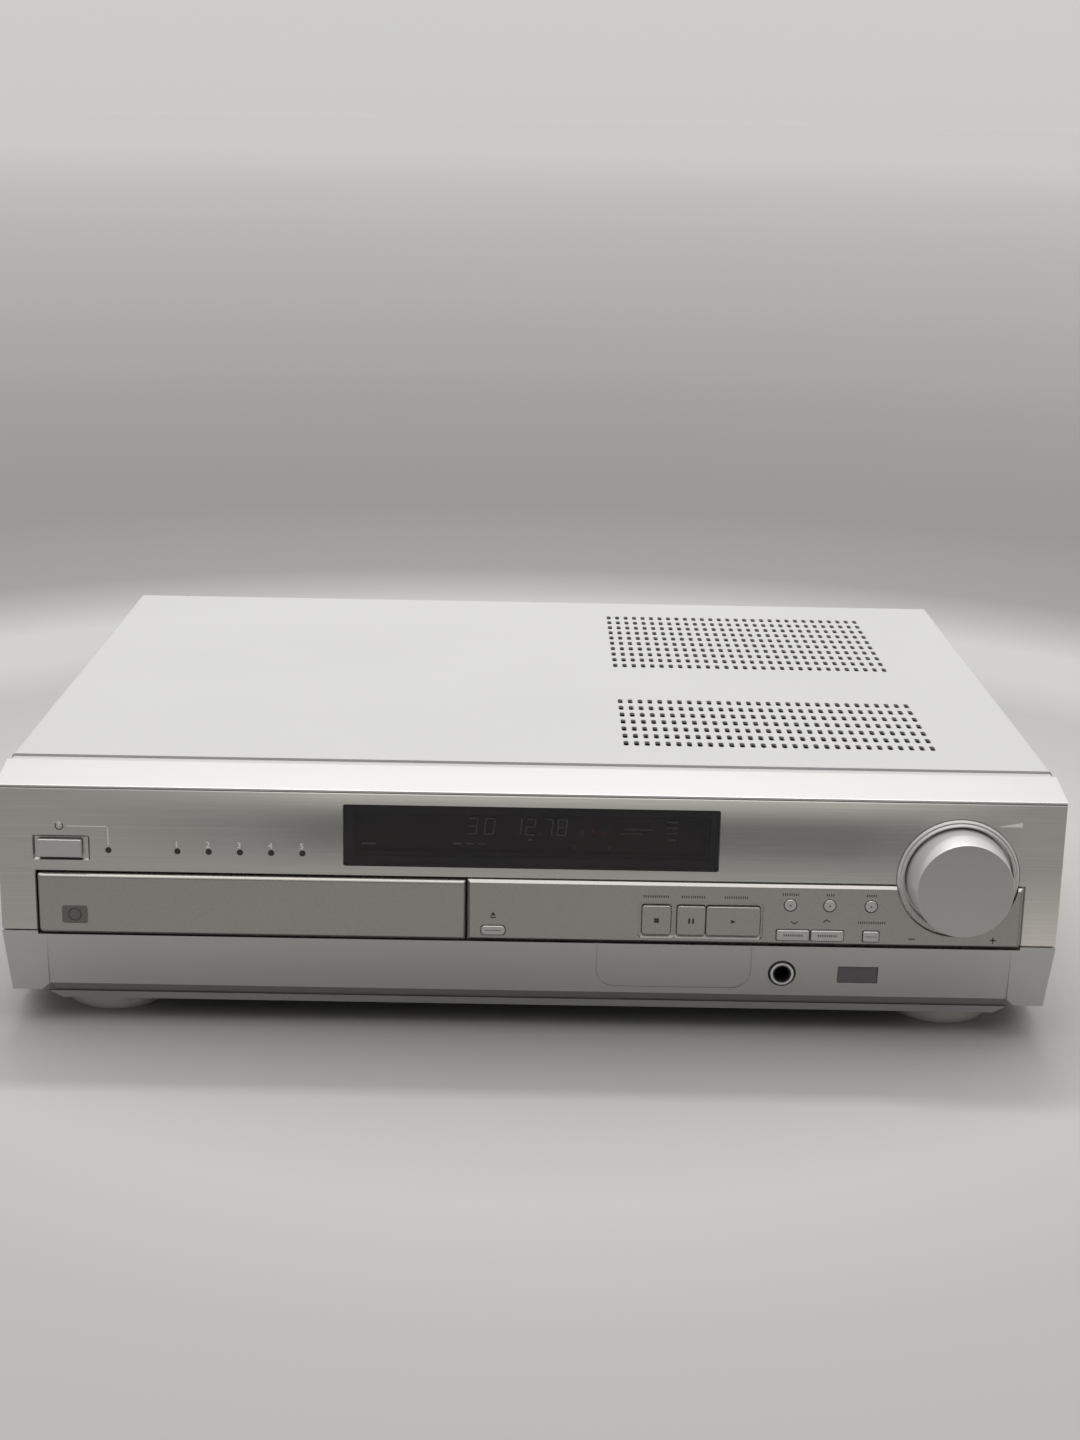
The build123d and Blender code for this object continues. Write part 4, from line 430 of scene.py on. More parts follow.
# thin plate from an outline of (x, z) points, its front at y
def addPlate(made, outline, y, thickness):
    front = [made.verts.new((x, y, z)) for x, z in outline]
    back = [made.verts.new((x, y + thickness, z)) for x, z in outline]
    made.faces.new(front)
    made.faces.new(list(reversed(back)))
    count = len(outline)
    for k in range(count):
        made.faces.new((front[k], back[k], back[(k + 1) % count], front[(k + 1) % count]))

# flat frame between two outlines with as many points
def addFrame(made, outer, inner, y, thickness):
    loops = []
    for depth in (y, y + thickness):
        for outline in (outer, inner):
            loops.append([made.verts.new((x, depth, z)) for x, z in outline])
    count = len(outer)
    for first, second in ((0, 1), (1, 3), (3, 2), (2, 0)):
        for k in range(count):
            n = (k + 1) % count
            made.faces.new((loops[first][k], loops[first][n], loops[second][n], loops[second][k]))

# prints on a surface at y, from outlines
def platesPiece(name, outlines, y, finish, body):
    made = bmesh.new()
    for outline in outlines:
        addPlate(made, outline, y - printThickness, printThickness)
    return solidPiece(name, made, finish, body)

def framePiece(name, outer, inner, y, thickness, finish, body):
    made = bmesh.new()
    addFrame(made, outer, inner, y, thickness)
    return solidPiece(name, made, finish, body)

def boxOutline(x, z, width, height):
    reach, rise = width / 2, height / 2
    return [(x - reach, z - rise), (x + reach, z - rise), (x + reach, z + rise), (x - reach, z + rise)]

# the front of a node, brought in by so much on each side
def frontOutline(node, inset):
    low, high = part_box(node)
    width, height = high.x - low.x - 2 * inset, high.z - low.z - 2 * inset
    return boxOutline(middle(node, 0), middle(node, 2), width, height)

def circleOutline(x, z, radius, count):
    turns = [2 * math.pi * k / count for k in range(count)]
    return [(x + radius * math.cos(t), z + radius * math.sin(t)) for t in turns]

# a line of some thickness through (x, z) points, as boxes that follow its runs
def lineOutlines(points, thickness):
    result = []
    for (x0, z0), (x1, z1) in zip(points, points[1:]):
        length = math.hypot(x1 - x0, z1 - z0)
        alongX, alongZ = (x1 - x0) / length, (z1 - z0) / length
        reach = thickness / 2
        corners = []
        for end, side in ((0, -1), (1, -1), (1, 1), (0, 1)):
            x, z = (x1, z1) if end else (x0, z0)
            grow = reach if end else -reach
            corners.append((
                x + alongX * grow - alongZ * reach * side,
                z + alongZ * grow + alongX * reach * side,
            ))
        result.append(corners)
    return result

seamWeld = 0.0001 * mm  # joins the ends of a closed profile

# spin a profile of (radius, y) points round an axis along Y; a closed one ends where it starts
def spinPiece(name, profile, x, z, finish, body, steps, closed=False):
    made = bmesh.new()
    turns = [2 * math.pi * k / steps for k in range(steps)]
    rings = []
    for radius, y in profile:
        if radius == 0:
            rings.append([made.verts.new((x, y, z))])
        else:
            ring = [(x + radius * math.cos(t), y, z + radius * math.sin(t)) for t in turns]
            rings.append([made.verts.new(point) for point in ring])
    for first, second in zip(rings, rings[1:]):
        for k in range(steps):
            n = (k + 1) % steps
            if len(first) == 1:
                made.faces.new((first[0], second[k], second[n]))
            elif len(second) == 1:
                made.faces.new((first[k], second[0], first[n]))
            else:
                made.faces.new((first[k], second[k], second[n], first[n]))
    if closed:
        bmesh.ops.remove_doubles(made, verts=made.verts, dist=seamWeld)
    return solidPiece(name, made, finish, body, True)

# turn each corner of a profile into a small arc that takes at most a share of the sides beside it
def roundProfile(points, radius, steps=5, most=0.45):
    result = [points[0]]
    for before, corner, after in zip(points, points[1:], points[2:]):
        corner = Vector(corner)
        back = Vector(before) - corner
        ahead = Vector(after) - corner
        reach = min(radius, back.length * most, ahead.length * most)
        start = corner + back.normalized() * reach
        end = corner + ahead.normalized() * reach
        for k in range(steps + 1):
            t = k / steps
            point = start * (1 - t) ** 2 + corner * 2 * t * (1 - t) + end * t**2
            result.append((point.x, point.y))
    result.append(points[-1])
    return result

figureBold = 0.05 * mm  # makes the strokes of the figures bolder

# plain figures as a mesh, facing the front (-1) or the rear (1)
def figures(name, texts, size, y, finish, body, facing=-1):
    made = bmesh.new()
    turn = Matrix.Rotation(math.radians(90), 4, "X")
    if facing > 0:
        turn = Matrix.Rotation(math.radians(180), 4, "Z") @ turn
    for text, x, z in texts:
        curve = bpy.data.curves.new(name, "FONT")
        curve.body = text
        curve.size = size
        curve.align_x = "CENTER"
        curve.align_y = "CENTER"
        curve.extrude = printThickness / 2
        curve.offset = figureBold
        holder = bpy.data.objects.new(name + "_curve", curve)
        bpy.context.collection.objects.link(holder)
        bpy.context.view_layer.update()
        mesh = bpy.data.meshes.new_from_object(holder.evaluated_get(bpy.context.evaluated_depsgraph_get()))
        mesh.transform(Matrix.Translation((x, y + facing * printThickness / 2, z)) @ turn)
        made.from_mesh(mesh)
        bpy.data.objects.remove(holder)
        bpy.data.meshes.remove(mesh)
    return meshPiece(name, made, finish, body)

# Housing, plate, drawer front and keys: rounded copies of the CAD nodes, each with its radius in mm
softRadius = {
    "front_bezel": ("bright_plastic", 0.40),
    "lower_band": ("silver_plastic", 0.40),
    "drawer_front": ("strip_plastic", 0.70),
    "control_strip": ("strip_plastic", 0.35),
    "face_plate": ("hairline_plate", 0.15),
    "power_button": ("silver_plastic", 0.45),
    "stop_button": ("strip_plastic", 0.30),
    "pause_button": ("strip_plastic", 0.30),
    "play_button": ("strip_plastic", 0.30),
    "tuning_down_button": ("silver_plastic", 0.25),
    "tuning_up_button": ("silver_plastic", 0.25),
    "selector_button": ("silver_plastic", 0.25),
    "open_close_button": ("silver_plastic", 0.25),
    "repeat_button": ("silver_plastic", 0.80),
    "mode_button": ("silver_plastic", 0.80),
    "preset_button": ("silver_plastic", 0.80),
    "feet": ("foot_plastic", 0.30),
    "remote_window": ("sensor_window", 0.15),
}
for node, (slot, radius) in softRadius.items():
    softenNode(node, slot, radius * mm)
print("front rounded:", len(softRadius), "pieces")

# Volume knob, turned: a flat face, a soft edge and a tapered side over a hollow with a bored boss
knobShape = {
    "trim": 0.3 * mm,
    "faceRadius": 19.4 * mm,
    "edge": 0.35 * mm,
    "skin": 2.0 * mm,
    "backGap": 0.5 * mm,
    "bossRadius": 5.0 * mm,
    "boreRadius": 3.02 * mm,
    "boreFrom": 5.0 * mm,
    "steps": 160,
}
knobLow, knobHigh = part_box("volume_knob")
knobX, knobZ = middle("volume_knob", 0), middle("volume_knob", 2)
knobFront, knobBack = knobLow.y, knobHigh.y - knobShape["backGap"]
knobRadius = (knobHigh.x - knobLow.x) / 2 - knobShape["trim"]
knobHollow = knobFront + knobShape["skin"]
knobBore = knobFront + knobShape["boreFrom"]
knobProfile = [
    (0, knobFront),
    (knobShape["faceRadius"], knobFront),
    (knobRadius, knobBack),
    (knobRadius - knobShape["skin"], knobBack),
    (knobShape["faceRadius"] - knobShape["skin"], knobHollow),
    (knobShape["bossRadius"], knobHollow),
    (knobShape["bossRadius"], knobBack),
    (knobShape["boreRadius"], knobBack),
    (knobShape["boreRadius"], knobBore),
    (0, knobBore),
]
knobPiece = spinPiece("volume_knob_turned", roundProfile(knobProfile, knobShape["edge"]), knobX, knobZ,
                      "knob_metal", "volume_control", knobShape["steps"])
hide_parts("volume_knob")

# Ring round the knob: a chamfered outer step and a raised collar with sloped edges
ringShape = {
    "inner": 22.1 * mm,
    "step": 1.2 * mm,
    "chamfer": 0.9 * mm,
    "shoulder": 1.4 * mm,
    "slope": 0.5 * mm,
    "rounding": 0.12 * mm,
}
ringLow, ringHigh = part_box("knob_ring")
ringFront, ringBack = ringLow.y, ringHigh.y
ringRadius = (ringHigh.x - ringLow.x) / 2
ringStepY = ringFront + ringShape["step"]
ringProfile = [
    (ringShape["inner"], ringBack),
    (ringRadius, ringBack),
    (ringRadius, ringStepY + ringShape["chamfer"]),
    (ringRadius - ringShape["chamfer"], ringStepY),
    (ringRadius - ringShape["shoulder"], ringStepY),
    (ringRadius - ringShape["shoulder"] - ringShape["slope"], ringFront),
    (ringShape["inner"] + ringShape["slope"], ringFront),
    (ringShape["inner"], ringFront + ringShape["slope"]),
    (ringShape["inner"], ringBack),
]
ringPiece = spinPiece("knob_ring_turned", roundProfile(ringProfile, ringShape["rounding"], 2), knobX, knobZ,
                      "knob_metal", "chassis", knobShape["steps"], True)
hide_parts("knob_ring")
print("knob and ring turned")

# Display: smoked pane with a black border in its back, a dark tunnel, and a mask round the tube.
# Border, tunnel and maskEdge are distances in from the edge of the pane.
paneShape = {
    "rounding": 0.2 * mm,
    "border": (0.15 * mm, 3.7 * mm),
    "borderFront": 0.12 * mm,
    "borderThick": 0.1 * mm,
    "tunnel": (3.6 * mm, 4.1 * mm),
    "tunnelFront": 0.05 * mm,
    "tunnelBack": 0.1 * mm,
    "maskEdge": 3.7 * mm,
    "maskOverlap": 0.3 * mm,
    "maskFront": 0.09 * mm,
    "maskThick": 0.05 * mm,
}
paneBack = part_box("display_window")[1].y
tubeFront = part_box("display_tube")[0].y
softenNode("display_window", "smoked_window", paneShape["rounding"])
borderOutlines = [frontOutline("display_window", inset) for inset in paneShape["border"]]
framePiece("window_border", *borderOutlines, paneBack - paneShape["borderFront"], paneShape["borderThick"],
           "black_plastic", "chassis")
tunnelOutlines = [frontOutline("display_window", inset) for inset in paneShape["tunnel"]]
tunnelFront = paneBack + paneShape["tunnelFront"]
framePiece("display_tunnel", *tunnelOutlines, tunnelFront, tubeFront - paneShape["tunnelBack"] - tunnelFront,
           "black_plastic", "chassis")
maskOuter = frontOutline("display_window", paneShape["maskEdge"])
maskInner = frontOutline("display_tube", paneShape["maskOverlap"])
framePiece("display_mask", maskOuter, maskInner, tubeFront - paneShape["maskFront"], paneShape["maskThick"],
           "black_plastic", "chassis")

# seven-bar figures: bars a to g run clockwise from the top, g across the middle
barsOf = {
    "0": "abcdef", "1": "bc", "2": "abged", "3": "abgcd", "4": "fgbc",
    "5": "afgcd", "6": "afgcde", "7": "abc", "8": "abcdefg", "9": "abcdfg",
}
segmentShape = {"height": 6.6 * mm, "width": 3.6 * mm, "bar": 0.42 * mm, "corner": 0.8, "lean": 0.10}

def segmentFigure(digit, x, z):
    height, width, bar = segmentShape["height"], segmentShape["width"], segmentShape["bar"]
    gap = bar * segmentShape["corner"]
    left, right = -width / 2, width / 2
    top, mid, low = height / 2, 0.0, -height / 2
    runs = {
        "a": ((left + gap, top), (right - gap, top)),
        "b": ((right, top - gap), (right, mid + gap)),
        "c": ((right, mid - gap), (right, low + gap)),
        "d": ((left + gap, low), (right - gap, low)),
        "e": ((left, mid - gap), (left, low + gap)),
        "f": ((left, top - gap), (left, mid + gap)),
        "g": ((left + gap, mid), (right - gap, mid)),
    }
    outlines = []
    for letter in barsOf[digit]:
        points = [(x + px + pz * segmentShape["lean"], z + pz) for px, pz in runs[letter]]
        outlines += lineOutlines(points, bar)
    return outlines

# Unlit marks on the tube, in mm: digits at x, a point and bars at (x, z) with their width and height, and a
# row of small speakers, each a disc over a bar
tubeShape = {
    "digits": (("3", -24), ("0", -17), ("1", -6), ("2", -0.4), ("7", 6.6), ("8", 12.4)),
    "digitZ": 86.6,
    "bars": (
        (3.2, 83.6, 0.5, 0.5),
        (-66, 78.4, 5.6, 0.8), (-30, 79.0, 3.4, 0.8), (-25, 79.0, 3.6, 0.5), (-20, 79.0, 3.6, 0.4),
        (-0.5, 81.2, 1.4, 0.8), (40.5, 86.2, 6.0, 0.4), (46.5, 86.2, 5.0, 0.4), (40.5, 84.4, 9.0, 0.3),
        (57, 89.6, 4.6, 0.7), (57, 87.2, 4.2, 0.6), (57, 84.8, 4.0, 0.6), (57, 82.0, 3.4, 0.9),
    ),
    "speakers": ((20.5, 84.6), (25.0, 85.6), (29.5, 84.6), (17.6, 78.6), (31.8, 78.4)),
    "discRadius": 0.85,
    "discPoints": 12,
    "barDrop": 1.1,
    "barWide": 2.2,
    "barTall": 0.3,
}
tubeMarks = []
for digit, x in tubeShape["digits"]:
    tubeMarks += segmentFigure(digit, x * mm, tubeShape["digitZ"] * mm)
for bar in tubeShape["bars"]:
    tubeMarks.append(boxOutline(*(size * mm for size in bar)))
platesPiece("display_figures", tubeMarks, tubeFront, "segment", "chassis")
speakerMarks = []
for x, z in tubeShape["speakers"]:
    barZ = z - tubeShape["barDrop"]
    speakerMarks.append(circleOutline(x * mm, z * mm, tubeShape["discRadius"] * mm, tubeShape["discPoints"]))
    speakerMarks.append(boxOutline(x * mm, barZ * mm, tubeShape["barWide"] * mm, tubeShape["barTall"] * mm))
platesPiece("display_speaker_marks", speakerMarks, tubeFront, "red", "chassis")
print("display dressed")

# Prints on the plate: a disc number above each lamp, and a power sign joined to the standby lamp
lampShape = {
    "radius": 1.1 * mm,
    "pitch": 12.6 * mm,
    "numbers": "12345",
    "numberRise": 2.9 * mm,
    "numberShift": 0.3 * mm,
    "numberSize": 3.4 * mm,
}
lampZ = middle("indicator_lenses", 2)
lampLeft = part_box("indicator_lenses")[0].x + lampShape["radius"]
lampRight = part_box("indicator_lenses")[1].x - lampShape["radius"]
discNumbers = []
for k, number in enumerate(reversed(lampShape["numbers"])):
    x = lampRight - k * lampShape["pitch"] - lampShape["numberShift"]
    discNumbers.insert(0, (number, x, lampZ + lampShape["numberRise"]))
figures("disc_numbers", discNumbers, lampShape["numberSize"], plateY, "light", "chassis")

powerShape = {
    "rise": 5.4 * mm,
    "lineFrom": 3.4 * mm,
    "lampGap": 2.2 * mm,
    "line": 0.35 * mm,
    "stroke": 0.45 * mm,
    "strokeEnds": (0.3 * mm, 1.8 * mm),
    "arcRadius": 1.5 * mm,
    "arcFrom": 125,
    "arcTurn": 290,
    "arcSteps": 18,
}
powerX = middle("power_button", 0)
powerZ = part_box("power_button")[1].z + powerShape["rise"]
powerLine = [
    (powerX + powerShape["lineFrom"], powerZ),
    (lampLeft, powerZ),
    (lampLeft, lampZ + powerShape["lampGap"]),
]
powerStroke = [(powerX, powerZ + rise) for rise in powerShape["strokeEnds"]]
powerArc = []
for k in range(powerShape["arcSteps"] + 1):
    turn = math.radians(powerShape["arcFrom"] + powerShape["arcTurn"] * k / powerShape["arcSteps"])
    powerArc.append((powerX + powerShape["arcRadius"] * math.cos(turn),
                     powerZ + powerShape["arcRadius"] * math.sin(turn)))
powerOutlines = lineOutlines(powerLine, powerShape["line"])
powerOutlines += lineOutlines(powerStroke, powerShape["stroke"])
powerOutlines += lineOutlines(powerArc, powerShape["stroke"])
platesPiece("power_sign", powerOutlines, plateY, "light", "chassis")

# a rising wedge stands for loudness beside the knob
wedgeShape = {"left": 187.4 * mm, "right": 197.4 * mm, "bottom": 92.4 * mm, "top": 94.4 * mm}
wedge = [
    (wedgeShape["left"], wedgeShape["bottom"]),
    (wedgeShape["right"], wedgeShape["bottom"]),
    (wedgeShape["right"], wedgeShape["top"]),
]
platesPiece("loudness_wedge", [wedge], plateY, "light", "chassis")

# Signs on the keys, in mm from the middle of each, with a line, ticks or a dot where a caption would be
keyShape = {
    "ticks": 9,
    "tickPitch": 0.9,
    "tickSize": (0.45, 0.9),
    "tickZ": 0.2,
    "dotRadius": 0.42,
    "dotPoints": 12,
}
tickPlaces = [keyShape["tickPitch"] * (k - (keyShape["ticks"] - 1) / 2) for k in range(keyShape["ticks"])]
tuningTicks = [boxOutline(x, keyShape["tickZ"], *keyShape["tickSize"]) for x in tickPlaces]
keyDot = circleOutline(0, 0, keyShape["dotRadius"], keyShape["dotPoints"])
keySigns = (
    ("stop_sign", "stop_button", [boxOutline(0, 0, 2.0, 2.0)], "dark"),
    ("pause_sign", "pause_button", [boxOutline(-0.8, 0, 0.8, 2.2), boxOutline(0.8, 0, 0.8, 2.2)], "dark"),
    ("play_sign", "play_button", [[(-0.9, -0.9), (1.1, 0), (-0.9, 0.9)]], "dark"),
    ("open_close_line", "open_close_button", [boxOutline(0, 0.1, 6.4, 0.28)], "soft"),
    ("tuning_down_sign", "tuning_down_button", tuningTicks, "dark"),
    ("tuning_up_sign", "tuning_up_button", tuningTicks, "dark"),
    ("selector_line", "selector_button", [boxOutline(0, 0.1, 5.0, 0.28)], "soft"),
    ("repeat_sign", "repeat_button", [keyDot], "soft"),
    ("mode_sign", "mode_button", [keyDot], "soft"),
    ("preset_sign", "preset_button", [keyDot], "soft"),
)
for name, node, outlines, finish in keySigns:
    x, z = middle(node, 0), middle(node, 2)
    moved = [[(x + px * mm, z + pz * mm) for px, pz in outline] for outline in outlines]
    platesPiece(name, moved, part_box(node)[0].y, finish, bodyOf[node])

# Signs on the strip: an arrow over a bar above the drawer's key, a chevron above each tuning key, and a minus
# and a plus beside the knob
stripShape = {
    "arrowReach": 1.1 * mm,
    "arrowZ": (51.4 * mm, 53.0 * mm),
    "barZ": 50.6 * mm,
    "bar": 0.5 * mm,
    "chevronZ": 51.0 * mm,
    "chevronReach": 1.3 * mm,
    "chevronRise": 1.0 * mm,
    "chevronShift": 0.4 * mm,
    "chevronLine": 0.4 * mm,
    "turnZ": 44.25 * mm,
    "turnWidth": 2.6 * mm,
    "minusX": -17.4 * mm,
    "plusX": 15.7 * mm,
}
openX = middle("open_close_button", 0)
arrowReach, (arrowLow, arrowHigh) = stripShape["arrowReach"], stripShape["arrowZ"]
stripSigns = [
    [(openX - arrowReach, arrowLow), (openX + arrowReach, arrowLow), (openX, arrowHigh)],
    boxOutline(openX, stripShape["barZ"], 2 * arrowReach, stripShape["bar"]),
]
for node, way in (("tuning_down_button", -1), ("tuning_up_button", 1)):
    x = middle(node, 0) - way * stripShape["chevronShift"]
    chevron = [
        (x - stripShape["chevronReach"], stripShape["chevronZ"]),
        (x, stripShape["chevronZ"] + way * stripShape["chevronRise"]),
        (x + stripShape["chevronReach"], stripShape["chevronZ"]),
    ]
    stripSigns += lineOutlines(chevron, stripShape["chevronLine"])
minusX, plusX = knobX + stripShape["minusX"], knobX + stripShape["plusX"]
stripSigns.append(boxOutline(minusX, stripShape["turnZ"], stripShape["turnWidth"], stripShape["bar"]))
stripSigns.append(boxOutline(plusX, stripShape["turnZ"], stripShape["turnWidth"], stripShape["bar"]))
stripSigns.append(boxOutline(plusX, stripShape["turnZ"], stripShape["bar"], stripShape["turnWidth"]))
platesPiece("strip_signs", stripSigns, stripY, "dark", "chassis")

# rows of fine ticks over the keys, where captions would be: x, z and width of each, in mm
tickShape = {
    "pitch": 0.9,
    "width": 0.42,
    "height": 1.0,
    "rows": (
        (51.0, 60.8, 11), (66.0, 60.8, 10), (83.5, 60.9, 10), (105.5, 62.6, 8),
        (121.5, 62.6, 4), (138.3, 62.6, 5), (138.8, 51.0, 12),
    ),
}
tickMarks = []
for rowX, z, rowWidth in tickShape["rows"]:
    count = int(rowWidth / tickShape["pitch"])
    for k in range(count):
        x = rowX + (k - (count - 1) / 2) * tickShape["pitch"]
        tickMarks.append(boxOutline(x * mm, z * mm, tickShape["width"] * mm, tickShape["height"] * mm))
platesPiece("strip_ticks", tickMarks, stripY, "dark", "chassis")

# the lower wall of the key pocket leans back and catches the light
ledgeShape = {"under": 1.6 * mm, "rise": 1.0 * mm, "front": 0.05 * mm, "depth": 0.68 * mm, "left": 0.4 * mm}
ledgeLow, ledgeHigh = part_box("stop_button")[0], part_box("play_button")[1]
ledgeBottom = ledgeLow.z - ledgeShape["under"]
ledgeSection = (
    (stripY + ledgeShape["front"], ledgeBottom),
    (stripY + ledgeShape["depth"], ledgeBottom),
    (stripY + ledgeShape["depth"], ledgeBottom + ledgeShape["rise"]),
)
ledgeMade = bmesh.new()
ledgeEnds = [[ledgeMade.verts.new((x, y, z)) for y, z in ledgeSection]
             for x in (ledgeLow.x - ledgeShape["left"], ledgeHigh.x)]
for end in ledgeEnds:
    ledgeMade.faces.new(end)
count = len(ledgeSection)
for k in range(count):
    n = (k + 1) % count
    ledgeMade.faces.new((ledgeEnds[0][k], ledgeEnds[0][n], ledgeEnds[1][n], ledgeEnds[1][k]))
solidPiece("key_ledge", ledgeMade, "strip_plastic", "chassis")

# a box with round corners
def roundedOutline(x, z, width, height, radius, steps=6):
    outline = []
    for k, (sideX, sideZ) in enumerate(((1, 1), (-1, 1), (-1, -1), (1, -1))):
        for step in range(steps + 1):
            turn = math.radians(90 * (k + step / steps))
            outline.append((x + sideX * (width / 2 - radius) + radius * math.cos(turn),
                            z + sideZ * (height / 2 - radius) + radius * math.sin(turn)))
    return outline

# a plain block with a ring at the left of the drawer front
discPrint = {
    "x": -184.7 * mm,
    "z": 48.8 * mm,
    "size": (10.5 * mm, 7.6 * mm),
    "corner": 1.2 * mm,
    "ring": (2.7 * mm, 2.3 * mm),
    "ringPoints": 40,
    "ringFront": 0.07 * mm,
    "ringThick": 0.03 * mm,
}
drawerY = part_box("drawer_front")[0].y
discX, discZ = discPrint["x"], discPrint["z"]
discBlock = roundedOutline(discX, discZ, *discPrint["size"], discPrint["corner"])
platesPiece("disc_print_block", [discBlock], drawerY, "soft", "drawer")
ringOutlines = [circleOutline(discX, discZ, radius, discPrint["ringPoints"]) for radius in discPrint["ring"]]
framePiece("disc_print_ring", *ringOutlines, drawerY - discPrint["ringFront"], discPrint["ringThick"],
           "dark", "drawer")
print("prints laid")

# Headphone socket: bright collar round the bore, with a sloped mouth
collarShape = {
    "outer": 5.3 * mm,
    "inner": 3.25 * mm,
    "length": 1.6 * mm,
    "proud": 0.02 * mm,
    "mouth": 0.5 * mm,
    "mouthDepth": 0.6 * mm,
    "rim": 0.5 * mm,
    "rimDepth": 0.5 * mm,
    "taper": 0.1 * mm,
    "rounding": 0.15 * mm,
    "steps": 64,
}
jackX, jackZ = middle("headphone_jack", 0), middle("headphone_jack", 2)
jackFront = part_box("headphone_jack")[0].y
collarProfile = [
    (collarShape["inner"], jackFront + collarShape["length"]),
    (collarShape["inner"], jackFront + collarShape["mouthDepth"]),
    (collarShape["inner"] + collarShape["mouth"], jackFront - collarShape["proud"]),
    (collarShape["outer"] - collarShape["rim"], jackFront - collarShape["proud"]),
    (collarShape["outer"] - collarShape["taper"], jackFront + collarShape["rimDepth"]),
    (collarShape["inner"], jackFront + collarShape["length"]),
]
spinPiece("socket_collar", roundProfile(collarProfile, collarShape["rounding"], 2), jackX, jackZ,
          "bright_metal", "chassis", collarShape["steps"], True)

# Rear: a coloured insert in each phono socket, with a plain number
phonoShape = {
    "colors": (("yellow", "red", "red", "red"), ("green", "white", "white", "white")),
    "z": 38 * mm,
    "pitchX": 16 * mm,
    "pitchZ": 15 * mm,
    "outer": 3.5 * mm,
    "inner": 1.9 * mm,
    "sunk": 0.2 * mm,
    "thick": 0.25 * mm,
    "steps": 40,
    "numberShift": (-6.0 * mm, 4.6 * mm),
    "numberSize": 3.0 * mm,
}
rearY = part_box("rear_panel")[1].y
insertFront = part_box("phono_sockets")[1].y - phonoShape["sunk"]
insertBack = insertFront + phonoShape["thick"]
insertProfile = [
    (phonoShape["outer"], insertFront),
    (phonoShape["outer"], insertBack),
    (phonoShape["inner"], insertBack),
    (phonoShape["inner"], insertFront),
    (phonoShape["outer"], insertFront),
]
phonoNumbers = []
for row, colors in enumerate(phonoShape["colors"]):
    for column, color in enumerate(colors):
        number = row * len(colors) + column + 1
        x = middle("phono_sockets", 0) + (column - (len(colors) - 1) / 2) * phonoShape["pitchX"]
        z = phonoShape["z"] + (0.5 - row) * phonoShape["pitchZ"]
        spinPiece(f"phono_insert_{number}", insertProfile, x, z, color, "chassis", phonoShape["steps"], True)
        shiftX, shiftZ = phonoShape["numberShift"]
        phonoNumbers.append((str(number), x + shiftX, z + shiftZ))
figures("phono_numbers", phonoNumbers, phonoShape["numberSize"], rearY, "dark", "chassis", 1)

# a coloured frame round each speaker socket, and a number outside each row
speakerShape = {
    "colors": (("red", "white", "green"), ("blue", "yellow", "soft")),
    "z": 38 * mm,
    "pitchZ": 14 * mm,
    "outer": (18 * mm, 11.4 * mm),
    "inner": (14.4 * mm, 8.4 * mm),
    "sunk": 0.2 * mm,
    "thick": 0.5 * mm,
    "numberZ": (55.4 * mm, 20.0 * mm),
    "numberSize": 3.4 * mm,
}
speakerLow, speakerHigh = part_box("speaker_sockets")
speakerFront = speakerHigh.y - speakerShape["sunk"]
speakerNumbers = []
for row, colors in enumerate(speakerShape["colors"]):
    for column, color in enumerate(colors):
        number = row * len(colors) + column + 1
        x = middle("speaker_sockets", 0) + (column - 1) * (speakerHigh.x - speakerLow.x) / len(colors)
        z = speakerShape["z"] + (0.5 - row) * speakerShape["pitchZ"]
        frameOutlines = [boxOutline(x, z, *speakerShape[side]) for side in ("outer", "inner")]
        framePiece(f"speaker_frame_{number}", *frameOutlines, speakerFront, speakerShape["thick"],
                   color, "chassis")
        speakerNumbers.append((str(number), x, speakerShape["numberZ"][row]))
figures("speaker_numbers", speakerNumbers, speakerShape["numberSize"], rearY, "dark", "chassis", 1)
print("rear dressed")

# Nodes that keep their CAD shape
carriedOver = {
    "painted_cover": ("top_cover",),
    "steel_sheet": ("chassis_pan", "rear_panel", "traverse_plate", "clamp_bridge"),
    "tube_glass": ("display_tube",),
    "bright_metal": ("encoder_shaft", "volume_encoder", "foot_screws", "cover_screws", "loading_motor",
                     "spindle_motor", "guide_rods", "tuner_module"),
    "black_plastic": ("headphone_jack", "tact_switches", "turntable", "laser_head", "power_modules",
                      "phono_sockets", "speaker_sockets", "ac_inlet", "fan_frame", "fan_rotor"),
    "lens_plastic": ("indicator_lenses",),
    "circuit_board": ("front_board", "main_board", "power_board"),
    "mechanism_plastic": ("disc_tray", "stored_trays", "changer_frame"),
    "gear_plastic": ("drive_gear", "motor_pulley", "clamp_disc"),
    "belt_rubber": ("drive_belt",),
    "aluminium_fins": ("heat_sink",),
    "steel_laminations": ("transformer_core",),
    "copper_winding": ("transformer_winding",),
    "capacitor_sleeve": ("capacitors",),
}
for slot, nodes in carriedOver.items():
    for node in nodes:
        cadNodes[node].data.materials.clear()
        cadNodes[node].data.materials.append(finishes[slot])
print("carried-over nodes finished")

